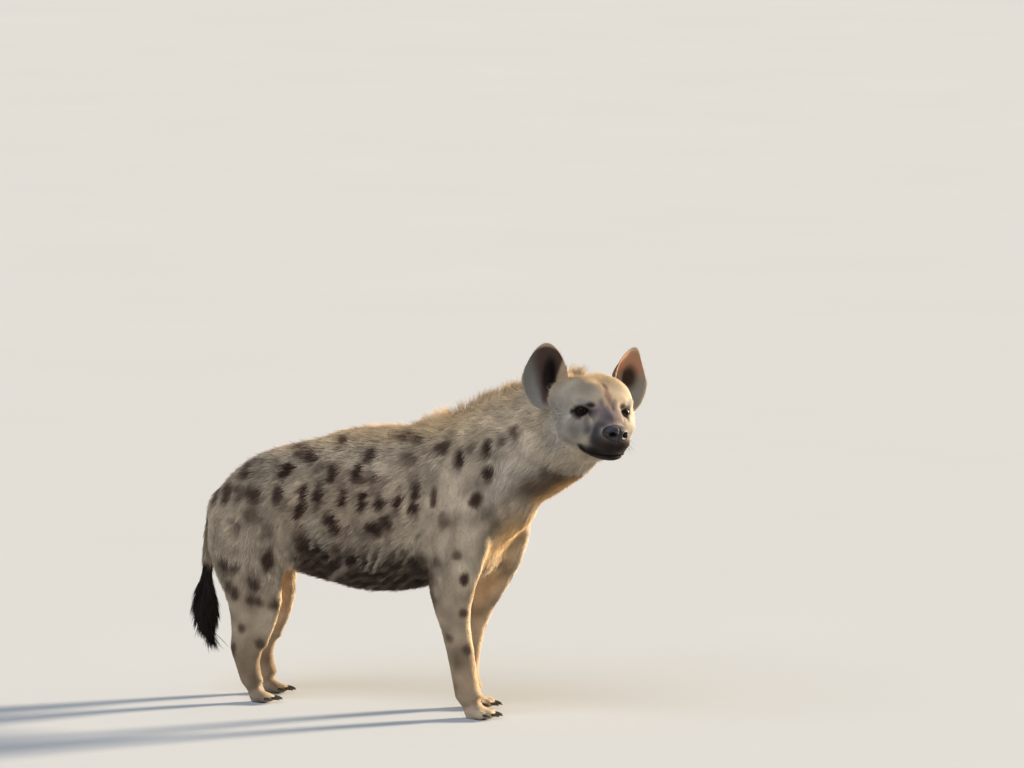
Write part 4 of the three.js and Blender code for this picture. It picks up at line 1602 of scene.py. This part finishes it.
class Coating:
    """Grows tufts over a part of the skin and joins them into one mesh."""

    PATCH = 0.003
    LEADER_SHARE = 0.12
    FEWEST = 20
    THICK = 0.42
    SINK = 0.9
    OWN_SHARE = 0.4

    def __init__(self, skin: Skin, growth: Growth, markings: Markings) -> None:
        """Keeps what every part of the coat needs.

        Args:
            skin: The finished skin.
            growth: Its fields.
            markings: The animal's colours.
        """
        self.skin, self.growth, self.markings = skin, growth, markings
        self.sway = Ripple(SEED + 10, 0.07)

    def roots(self, tris: Array, draw: np.random.Generator) -> Roots:
        """Scatters roots over triangles of the skin, as densely as the hair grows there.

        Args:
            tris: The triangles.
            draw: Random draw.

        Returns:
            The roots.
        """
        surface, growth = self.skin.surface, self.growth
        a, b, c = (surface.points[tris[:, k]] for k in range(3))
        area = np.linalg.norm(np.cross(b - a, c - a), axis=1) / 2 * 1e4
        wanted = area * growth.values[tris, 2].mean(1)
        count = np.floor(wanted + draw.random(len(wanted))).astype(int)
        owner = np.repeat(np.arange(len(tris)), count)
        share = draw.random((len(owner), 2))
        flip = share.sum(1) > 1
        share[flip] = 1 - share[flip]
        weights = np.stack([1 - share.sum(1), share[:, 0], share[:, 1]], 1)
        charts = unwrap(surface.points, tris)

        def blend(values: Array) -> Array:
            """A vertex value at each root."""
            return (values[tris[owner]] * weights[:, :, None]).sum(1)

        chart = (charts[owner] * weights[:, :, None]).sum(1)
        on_ear = bool(self.skin.on_ear[tris[0, 0]])
        at, normal, lie = blend(surface.points), unit(blend(growth.normals)), unit(blend(growth.lie))
        return Roots(at, normal, lie, blend(growth.values), chart, on_ear)

    def centres(self, roots: Roots, draw: np.random.Generator) -> tuple[Array, ...]:
        """The middle lines of the tufts.

        Args:
            roots: Where they start.
            draw: Random draw.

        Returns:
            Start, middle and tip of each tuft, as points that a curve runs by, and which tuft leads it.
        """
        count = len(roots.at)
        length = roots.values[:, 0] * draw.uniform(0.65, 1.15, count) * MM
        lift = np.radians(roots.values[:, 3] * draw.uniform(0.6, 1.5, count))
        side = np.cross(roots.normal, roots.lie)
        turn = draw.normal(0, 0.14, count) + 0.16 * self.sway(roots.at)
        lie = unit(roots.lie * np.cos(turn)[:, None] + side * np.sin(turn)[:, None])
        rise = roots.normal * np.sin(lift)[:, None] + lie * np.cos(lift)[:, None]
        settle = roots.normal * np.sin(lift * 0.35)[:, None] + lie * np.cos(lift * 0.35)[:, None]
        curl = side * draw.normal(0, 0.1, count)[:, None]
        steep = ramp(0.6, 0.9, lift)[:, None]
        settle = unit(settle + (rise - settle) * steep)
        start = roots.at - roots.normal * (self.SINK * roots.values[:, 1] * MM)[:, None]
        middle = start + rise * (length * 0.5)[:, None]
        tip = middle + unit(settle + curl) * (length * 0.5)[:, None]
        leaders = np.flatnonzero(draw.random(count) < self.LEADER_SHARE)
        tree = KDTree(len(leaders))
        for number, index in enumerate(leaders):
            tree.insert(roots.at[index], number)
        tree.balance()
        nearest = leaders[[tree.find(p)[1] for p in roots.at]]
        pull = np.minimum(1, length / np.maximum(np.linalg.norm(tip[nearest] - tip, axis=1), 1e-6))
        pull = pull * draw.uniform(0.3, 1.2, count)
        pull = pull * (0.4 * ramp(0.008, 0.02, length) + 0.2 * ramp(0.022, 0.04, length))
        tip = tip + (tip[nearest] - tip) * pull[:, None]
        middle = middle + (middle[nearest] - middle) * (pull * 0.35)[:, None]
        return start, middle, tip, nearest

    def tufts(self, roots: Roots, shape: TuftShape, draw: np.random.Generator) -> dict[str, Array]:
        """Meshes of one kind of tuft.

        Args:
            roots: Where they start.
            shape: Their rings.
            draw: Random draw.

        Returns:
            Points, triangles, colours, strand coordinates, chart places and shading directions.
        """
        count, rings = len(roots.at), len(shape.steps)
        start, middle, tip, leader = self.centres(roots, draw)
        floor = TORSO.origin[2] + 0.0008
        width = roots.values[:, 1] * draw.uniform(0.75, 1.25, count) * MM
        coloured = (start + tip) / 2
        follow = 0.3 * ramp(0.012, 0.03, roots.values[:, 0] * MM)
        coloured = coloured + (coloured[leader] - coloured) * follow[:, None]
        base = self.markings(coloured, roots.normal, np.full(count, roots.on_ear))
        tone = draw.normal(1, 0.08, count) + 3 * follow * draw.normal(0, 0.12, count)[leader]
        tone = np.clip(tone, 0.65, 1.4)[:, None]
        spot = draw.random(count)
        rows = {name: [] for name in ("points", "colours", "strands", "charts", "faced")}
        for step, wide in zip((*shape.steps, 1.0), (*shape.widths, 0.0)):
            bend = 2 * step * (1 - step)
            centre = start * (1 - step) ** 2 + middle * bend + tip * step**2
            ahead = unit((middle - start) * (1 - step) + (tip - middle) * step)
            across = unit(np.cross(roots.normal, ahead))
            top = np.cross(ahead, across)
            half = (width * wide / 2)[:, None]
            corners = [(-1, -0.3), (1, -0.3), (0, 1)] if wide else [(0, 0)]
            # Painted shade: each tuft is darker at its root, where the coat shades itself, and lighter
            # towards its tip.
            shade = base * tone * (0.8 + 0.25 * step)
            pale = base * 0.4 + 0.6 * np.minimum(base * 1.5, 1)
            shade = shade + (pale - shade) * (0.22 * ramp(0.55, 1.0, np.array(step)))
            for out, high in corners:
                point = centre + across * half * out + top * half * (high * 2 * self.THICK)
                point[:, 2] = np.maximum(point[:, 2], floor)
                rows["points"].append(point)
                rows["colours"].append(shade)
                own = across * out * 0.9 + top * (high if wide else 1.0)
                rows["faced"].append(unit(roots.normal * (1 - self.OWN_SHARE) + own * self.OWN_SHARE))
                strand = [out * wide + 9 * spot, np.full(count, 0.5 * step), 31 * spot]
                rows["strands"].append(np.stack(strand, 1))
                rows["charts"].append(roots.chart + self.PATCH * np.array([0.5 * out * wide, step - 0.5]))
        size = rings * 3 + 1
        faces = [(0, 2, 1)]
        for ring in range(rings - 1):
            low, high = 3 * ring, 3 * ring + 3
            for k in range(3):
                n = (k + 1) % 3
                faces += [(low + k, low + n, high + n), (low + k, high + n, high + k)]
        last = 3 * (rings - 1)
        faces += [(last + k, last + (k + 1) % 3, last + 3) for k in range(3)]
        tris = np.array(faces)[None] + np.arange(count)[:, None, None] * size
        woven = {name: np.stack(parts, 1).reshape(count * size, -1) for name, parts in rows.items()}
        return {"tris": tris.reshape(-1, 3), **woven}

    def grow(self, name: str, chosen: Array, seed: int) -> Object:
        """One piece of the coat.

        Args:
            name: Of the piece.
            chosen: Which triangles of the skin it covers.
            seed: Of the random draw.

        Returns:
            The piece.
        """
        draw = np.random.default_rng(seed)
        roots = self.roots(self.skin.surface.tris[chosen], draw)
        length = roots.values[:, 0]
        sets = []
        for shape, low, high in ((SHORT_TUFT, 0, 20), (MIDDLE_TUFT, 20, 46), (LONG_TUFT, 46, 1e3)):
            kind = (length >= low) & (length < high)
            if kind.sum() > self.FEWEST:
                sets.append(self.tufts(roots.pick(kind), shape, draw))
        starts = np.cumsum([0] + [len(s["points"]) for s in sets])
        tris = np.concatenate([s["tris"] + start for s, start in zip(sets, starts)])
        parts = {key: np.concatenate([s[key] for s in sets]) for key in sets[0]}
        mesh = bpy.data.meshes.new(name)
        mesh.vertices.add(len(parts["points"]))
        mesh.loops.add(len(tris) * 3)
        mesh.polygons.add(len(tris))
        put_rows(mesh.vertices, "co", parts["points"])
        put_rows(mesh.loops, "vertex_index", tris, np.int32)
        put_rows(mesh.polygons, "loop_start", np.arange(0, len(tris) * 3, 3), np.int32)
        put_rows(mesh.polygons, "use_smooth", np.ones(len(tris)), bool)
        mesh.update(calc_edges=True)
        put_tint(mesh, parts["colours"])
        put_vectors(mesh, STRAND, parts["strands"])
        put_rows(mesh.uv_layers.new(name=BAKE_MAP).data, "uv", parts["charts"][tris.ravel()])
        mesh.normals_split_custom_set_from_vertices(parts["faced"].tolist())
        return show(name, mesh)


@dataclass(frozen=True)
class NosePad:
    """The bare nose: a broad pad with two nostrils, in millimetres of the head's frame."""

    middle: Triple = (80, 0, -38.5)
    half: Triple = (27, 32.5, 20.5)
    nostril: Triple = (104, 17.5, -40)
    aim: Triple = (0.86, 0.46, -0.1)
    hole: float = 8.4
    deep: float = 15
    wing: float = 1.0
    slit_end: Triple = (88, 31, -36)

    def build(self) -> Object:
        """Shapes the pad from a finely divided ball.

        Returns:
            The piece.
        """
        form = bmesh.new()
        bmesh.ops.create_icosphere(form, subdivisions=6, radius=1)
        ball = rows_of(form.verts)
        squared = np.sign(ball) * np.abs(ball) ** np.array([0.9, 0.92, 0.86])
        points = squared * self.half
        points[:, 1] *= 1 - 0.12 * ramp(0.2, 1, ball[:, 0]) - 0.1 * ramp(0, -1, ball[:, 2])
        points[:, 2] += 3 * ramp(0.1, -0.9, ball[:, 0])
        points = points + self.middle
        normals = unit(ball / np.array(self.half))
        dark, push = np.zeros(len(points)), np.zeros(len(points))
        for side in SIDES.values():
            flip = np.array([1, side, 1])
            aim = unit(np.array(self.aim) * flip)
            rel = points - np.array(self.nostril) * flip
            flat = rel - (rel @ aim)[:, None] * aim
            oval = np.hypot(flat[:, 2] * 1.12, np.hypot(flat[:, 0], flat[:, 1]) * 0.92)
            facing = ramp(-0.1, 0.3, normals @ aim)
            open_share = np.clip((self.hole + 1.2 - oval) / self.hole, 0, 1) ** 0.65 * facing
            push += -self.deep * open_share + self.wing * bump(oval, self.hole + 2.6, 2.2) * facing
            # Painted shade darkens the hole of each nostril.
            dark = np.maximum(dark, ramp(self.hole + 2.0, self.hole * 0.8, oval) * facing)
            start = np.array(self.nostril) * flip + [0, side * 6, 2]
            along = np.array(self.slit_end) * flip - start
            t = np.clip((points - start) @ along / (along @ along), 0, 1)
            gap = np.linalg.norm(points - start - t[:, None] * along, axis=1)
            push -= 3.4 * bump(gap, 0, 2.1) * (1 - 0.5 * t)
            # Painted shade darkens the slit beside each nostril.
            dark = np.maximum(dark, 0.75 * bump(gap, 0, 2.0))
        front = ramp(0.2, 0.7, ball[:, 0])
        low = ramp(-38, -46, points[:, 2])
        push -= 2.2 * bump(points[:, 1], 0, 1.6) * front * low
        push -= 0.9 * bump(points[:, 1], 0, 3.0) * front * (1 - low)
        points = points + normals * push[:, None]
        move(form.verts, HEAD.place(points))
        mesh = finish_form(form, "nose_leather")
        # The top of the leather is painted lighter and bluer, as a painted sky highlight; the dark of the
        # holes is painted shade.
        tint = mix(linear(40, 37, 44), linear(72, 71, 87), ramp(-30, -18, points[:, 2]))
        put_tint(mesh, mix(tint, linear(9, 8, 8), dark))
        return show(mesh.name, mesh)


@dataclass(frozen=True)
class Eyeball:
    """A smooth eyeball with a bulging cornea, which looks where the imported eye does."""

    cornea: float = 36.0
    bulge: float = 1.3

    def build(self, name: str, lid: Eyelids) -> Object:
        """Makes the eyeball that one pair of lids lies on.

        Args:
            name: Of the piece.
            lid: The lids.

        Returns:
            The piece.
        """
        form = bmesh.new()
        bmesh.ops.create_uvsphere(form, u_segments=48, v_segments=48, radius=1)
        ball = rows_of(form.verts)
        polar = np.degrees(np.arccos(np.clip(ball[:, 2], -1, 1)))
        radius = lid.face.eye_radius + self.bulge * ramp(self.cornea, 0, polar)
        look = np.stack([ball[:, 2], ball[:, 0], ball[:, 1]], 1) * radius[:, None]
        move(form.verts, HEAD.place(lid.middle + look @ lid.turn.T))
        bmesh.ops.recalc_face_normals(form, faces=form.faces)
        mesh = finish_form(form, name)
        around = np.arctan2(ball[:, 1], ball[:, 0])
        put_vectors(mesh, STRAND, np.stack([polar / 100, np.cos(around), np.sin(around)], 1))
        return show(name, mesh)


@dataclass(frozen=True)
class LidRim:
    """The dark roll along the edge of the lids."""

    thick: float = 0.95
    steps: int = 96
    section: float = 0.2
    colour: Triple = (13, 10, 10)

    def build(self, name: str, lid: Eyelids) -> Object:
        """Bends a ring of round section along the opening.

        Args:
            name: Of the piece.
            lid: The lids.

        Returns:
            The piece.
        """
        form = bmesh.new()
        bmesh.ops.create_circle(form, segments=10, radius=self.section)
        bmesh.ops.rotate(form, verts=form.verts, matrix=Matrix.Rotation(math.pi / 2, 3, "X"))
        bmesh.ops.translate(form, verts=form.verts, vec=(1, 0, 0))
        bmesh.ops.spin(
            form, geom=form.verts[:] + form.edges[:], cent=(0, 0, 0), axis=(0, 0, 1),
            angle=2 * math.pi, steps=self.steps, use_merge=True,
        )
        x, y, z = rows_of(form.verts).T
        out = (np.hypot(x, y) - 1) * self.thick / self.section
        points = lid.rim(np.arctan2(y, x), out, z * self.thick / self.section + 1.0)
        move(form.verts, HEAD.place(points))
        bmesh.ops.recalc_face_normals(form, faces=form.faces)
        mesh = finish_form(form, name)
        put_tint(mesh, np.tile(linear(*self.colour), (len(points), 1)))
        return show(name, mesh)


@dataclass(frozen=True)
class Whiskers:
    """Stiff dark hairs in rows on the upper lip and over the eyes, in millimetres of the head's frame."""

    rows: tuple[Triple, ...] = ((84, 34, -56), (80, 38, -65), (74, 42, -74), (68, 44, -83))
    per_row: int = 4
    back: float = 9.5
    brow: Triple = (6, 40, 28)
    over_eye: int = 3
    long: float = 42
    half_thick: float = 0.19
    out: Triple = (-0.55, 0.75, -0.25)
    droop: float = 9

    def build(self, skin: Skin) -> Object:
        """Sets each whisker on the skin, as a tapered and slightly bent ball.

        Args:
            skin: The finished skin.

        Returns:
            The piece.
        """
        draw = np.random.default_rng(SEED + 7)
        tree = tree_of(skin.object.data)
        steps = [(k * self.back, -k * 0.8, 0) for k in range(self.per_row)]
        starts = [np.array(row) - step for row in self.rows for step in steps]
        starts += [np.array(self.brow) + [-4 * k, 5 * k, 1.5 * k] for k in range(self.over_eye)]
        form = bmesh.new()
        for start in mirror(starts):
            side = math.copysign(1, start[1])
            root = HEAD.read(np.array(tree.find_nearest(Vector(HEAD.place(start)))[0]))
            long = self.long * draw.uniform(0.55, 1.1) * (0.5 if start[2] > 0 else 1)
            along = unit(np.array(self.out) * [1, side, 1] + draw.normal(0, 0.16, 3))
            made = bmesh.ops.create_uvsphere(form, u_segments=5, v_segments=9, radius=1)["verts"]
            ball = rows_of(made)
            share = (ball[:, 2] + 1) / 2
            across = unit(np.cross(along, [0.0, 0.0, 1.0]))
            third = np.cross(across, along)
            thin = (self.half_thick * (1 - 0.85 * share))[:, None]
            flat = unit(ball[:, :2] + 1e-9) * (np.hypot(ball[:, 0], ball[:, 1]) > 1e-4)[:, None]
            points = root + along * (share * long - 2)[:, None]
            points = points + (flat[:, :1] * across + flat[:, 1:] * third) * thin
            points[:, 2] -= self.droop * share**2
            move(made, HEAD.place(points))
        bmesh.ops.recalc_face_normals(form, faces=form.faces)
        mesh = finish_form(form, "whiskers")
        put_tint(mesh, np.tile(linear(44, 38, 34), (len(mesh.vertices), 1)))
        put_vectors(mesh, STRAND, np.zeros((len(mesh.vertices), 3)))
        return show(mesh.name, mesh)


@dataclass(frozen=True)
class Claws:
    """Blunt claws, in millimetres: each is a tapered, bent ball that reaches back into its toe."""

    back: float = 9
    half_wide: float = 3.6
    half_tall: float = 4.6
    taper: float = 0.62
    bend: float = 0.22
    splay: float = 9
    outer_from: float = 15

    def build(self, foot: str) -> tuple[Object, tuple[str, ...]]:
        """The four claws of one foot as one piece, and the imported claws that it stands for.

        Args:
            foot: Its limb and side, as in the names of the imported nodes.

        Returns:
            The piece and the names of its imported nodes.
        """
        nodes = tuple(f"{foot}_claw_{number}" for number in range(1, 5))
        middle = np.mean([box_middle(n)[1] for n in nodes])
        form = bmesh.new()
        for node in nodes:
            low, high = (np.array(corner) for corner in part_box(node))
            made = bmesh.ops.create_uvsphere(form, u_segments=16, v_segments=14, radius=1)["verts"]
            ball = rows_of(made)
            share = (ball[:, 2] + 1) / 2
            thin = 1 - self.taper * share**1.4
            long = (high[0] - low[0]) / MM + self.back
            tall = ball[:, 1] * self.half_tall * thin - self.bend * long * (share - 0.25) ** 2
            rel = np.stack([(share - 0.5) * long, ball[:, 0] * self.half_wide * thin, tall], 1)
            off = ((low[1] + high[1]) / 2 - middle) / MM
            turn = math.radians(self.splay * np.sign(off) * (abs(off) > self.outer_from))
            c, s = math.cos(turn), math.sin(turn)
            rel[:, :2] = rel[:, :2] @ np.array([[c, s], [-s, c]])
            at = np.array([high[0] - long / 2 * MM, (low[1] + high[1]) / 2, (low[2] + high[2]) / 2 + 0.001])
            places = at + rel * MM
            places[:, 2] = np.maximum(places[:, 2], TORSO.origin[2] + 0.001)
            move(made, places)
        bmesh.ops.recalc_face_normals(form, faces=form.faces)
        mesh = finish_form(form, f"{foot}_claws")
        return show(mesh.name, mesh), nodes


@dataclass(frozen=True)
class Studio:
    """Camera at the photograph's angle, a plain pale floor and soft light."""

    azimuth: float = math.radians(27)
    elevation: float = math.radians(6)
    distance: float = 20.0
    lens: float = 281.25
    aim: tuple[float, float] = (0.3425, 0.8025)
    floor_half: float = 160.0

    def camera(self) -> None:
        """Adds the camera."""
        sa, ca = math.sin(self.azimuth), math.cos(self.azimuth)
        se, ce = math.sin(self.elevation), math.cos(self.elevation)
        right, up = Vector((ca, sa, 0)), Vector((-sa * se, ca * se, ce))
        back = Vector((sa * ce, -ca * ce, se))
        data = bpy.data.cameras.new("view")
        data.lens, data.sensor_width = self.lens, 36
        data.clip_start, data.clip_end = 1, 500
        camera = show("view", data)
        camera.location = Vector(TORSO.origin) + right * self.aim[0] + up * self.aim[1] + back * self.distance
        camera.rotation_euler = back.to_track_quat("Z", "Y").to_euler()
        bpy.context.scene.camera = camera

    def sun(self, name: str, azimuth: float, height: float, power: float, soft: float, colour: tuple) -> None:
        """Adds even light from one direction.

        Args:
            name: Of the light.
            azimuth: Where it comes from, in degrees from +X towards +Y.
            height: Its height above the horizon, in degrees.
            power: Its strength.
            soft: Its width across the sky, in degrees.
            colour: Its colour.
        """
        data = bpy.data.lights.new(name, "SUN")
        data.energy, data.angle, data.color = power, math.radians(soft), colour
        a, h = math.radians(azimuth), math.radians(height)
        source = Vector((math.cos(a) * math.cos(h), math.sin(a) * math.cos(h), math.sin(h)))
        show(name, data).rotation_euler = source.to_track_quat("Z", "Y").to_euler()

    def build(self) -> None:
        """Adds the whole studio."""
        scene = bpy.context.scene
        self.camera()
        self.sun("key", -100, 48, 1.38, 50, (1.0, 0.985, 1.0))
        self.sun("rim", 55, 14, 12.8, 10, (1.0, 0.79, 0.52))
        scene.world = bpy.data.worlds.new("studio")
        scene.world.use_nodes = True
        sky = scene.world.node_tree.nodes["Background"]
        sky.inputs["Color"].default_value = (0.82, 0.90, 1.0, 1)
        sky.inputs["Strength"].default_value = 0.27
        form = bmesh.new()
        bmesh.ops.create_grid(form, x_segments=8, y_segments=8, size=self.floor_half)
        mesh = finish_form(form, "floor")
        mesh.materials.append(PaleFloor().material)
        show("floor", mesh)
        scene.view_settings.view_transform = "Standard"
        scene.view_settings.look = "None"


def place_piece(piece: Object, material: Material, nodes: tuple = ()) -> None:
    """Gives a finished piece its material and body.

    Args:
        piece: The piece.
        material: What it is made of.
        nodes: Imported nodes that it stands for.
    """
    piece.data.materials.clear()
    piece.data.materials.append(material)
    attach(piece, BODY)
    if nodes:
        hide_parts(*nodes)
    LOG.info("%s: %d faces", piece.name, len(piece.data.polygons))


# The pieces of the coat: the regions that each covers, and whether each side is a piece of its own.
COAT_PIECES = {
    "coat_head": (("head", "lower_jaw"), False),
    "coat_neck": (("neck",), True),
    "coat_chest": (("chest",), True),
    "coat_barrel": (("belly",), True),
    "coat_rump": (("rump", "hindleg_thigh"), True),
    "coat_forelegs": (("foreleg_upper", "foreleg_lower", "foreleg_paw"), True),
    "coat_hindlegs": (("hindleg_shank", "hindleg_foot"), False),
    "coat_tail": (("tail", "tail_tuft"), False),
}


def dress(skin: Skin, growth: Growth, markings: Markings) -> None:
    """Grows every piece of the coat over the skin.

    Args:
        skin: The finished skin.
        growth: Its fields.
        markings: The animal's colours.
    """
    coating = Coating(skin, growth, markings)
    hair = Hair().material
    tris = skin.surface.tris
    regions = np.array([FLESH[node] for node in FLESH])[growth.labels[tris[:, 0]]]
    on_ear = skin.on_ear[tris].all(1)
    side_of = np.sign(TORSO.read(skin.surface.points[tris].mean(1))[:, 1])
    jobs = [("coat_ears", on_ear)]
    for name, (covered, parted) in COAT_PIECES.items():
        here = np.isin(regions, covered) & ~on_ear
        if parted:
            halves = {"left": side_of >= 0, "right": side_of < 0}
            jobs += [(f"{name}_{side}", here & half) for side, half in halves.items()]
        else:
            jobs.append((name, here))
    for number, (name, chosen) in enumerate(jobs):
        piece = coating.grow(name, chosen, SEED + number)
        place_piece(piece, hair)


def main() -> None:
    """Builds the animal and its studio."""
    logging.basicConfig(level=logging.INFO, format="%(message)s")
    Studio().build()
    face, ear = Face(), EarForm()
    skin = Skin(face, ear)
    growth = grow_fields(skin)
    markings = Markings(skin)
    # The skin is painted a tenth darker than the hair, as painted shade beneath the coat.
    put_tint(skin.object.data, markings(skin.surface.points, growth.normals, skin.on_ear) * 0.9)
    place_piece(skin.object, Hide().material, (*FLESH, *EARS))
    leather, horn, wet, edge = (finish().material for finish in (Leather, Horn, WetEye, LidEdge))
    place_piece(NosePad().build(), leather, ("nose",))
    for node, lid in zip(EYES, skin.lids):
        side = node.split("_")[1]
        place_piece(Eyeball().build(f"eyeball_{side}", lid), wet, (node,))
        place_piece(LidRim().build(f"lid_rim_{side}", lid), edge)
    place_piece(Whiskers().build(skin), Hair().material)
    claws = Claws()
    for limb in ("foreleg", "hindleg"):
        for side in SIDES:
            piece, nodes = claws.build(f"{limb}_{side}")
            place_piece(piece, horn, nodes)
    dress(skin, growth, markings)


if __name__ == "__main__":
    main()
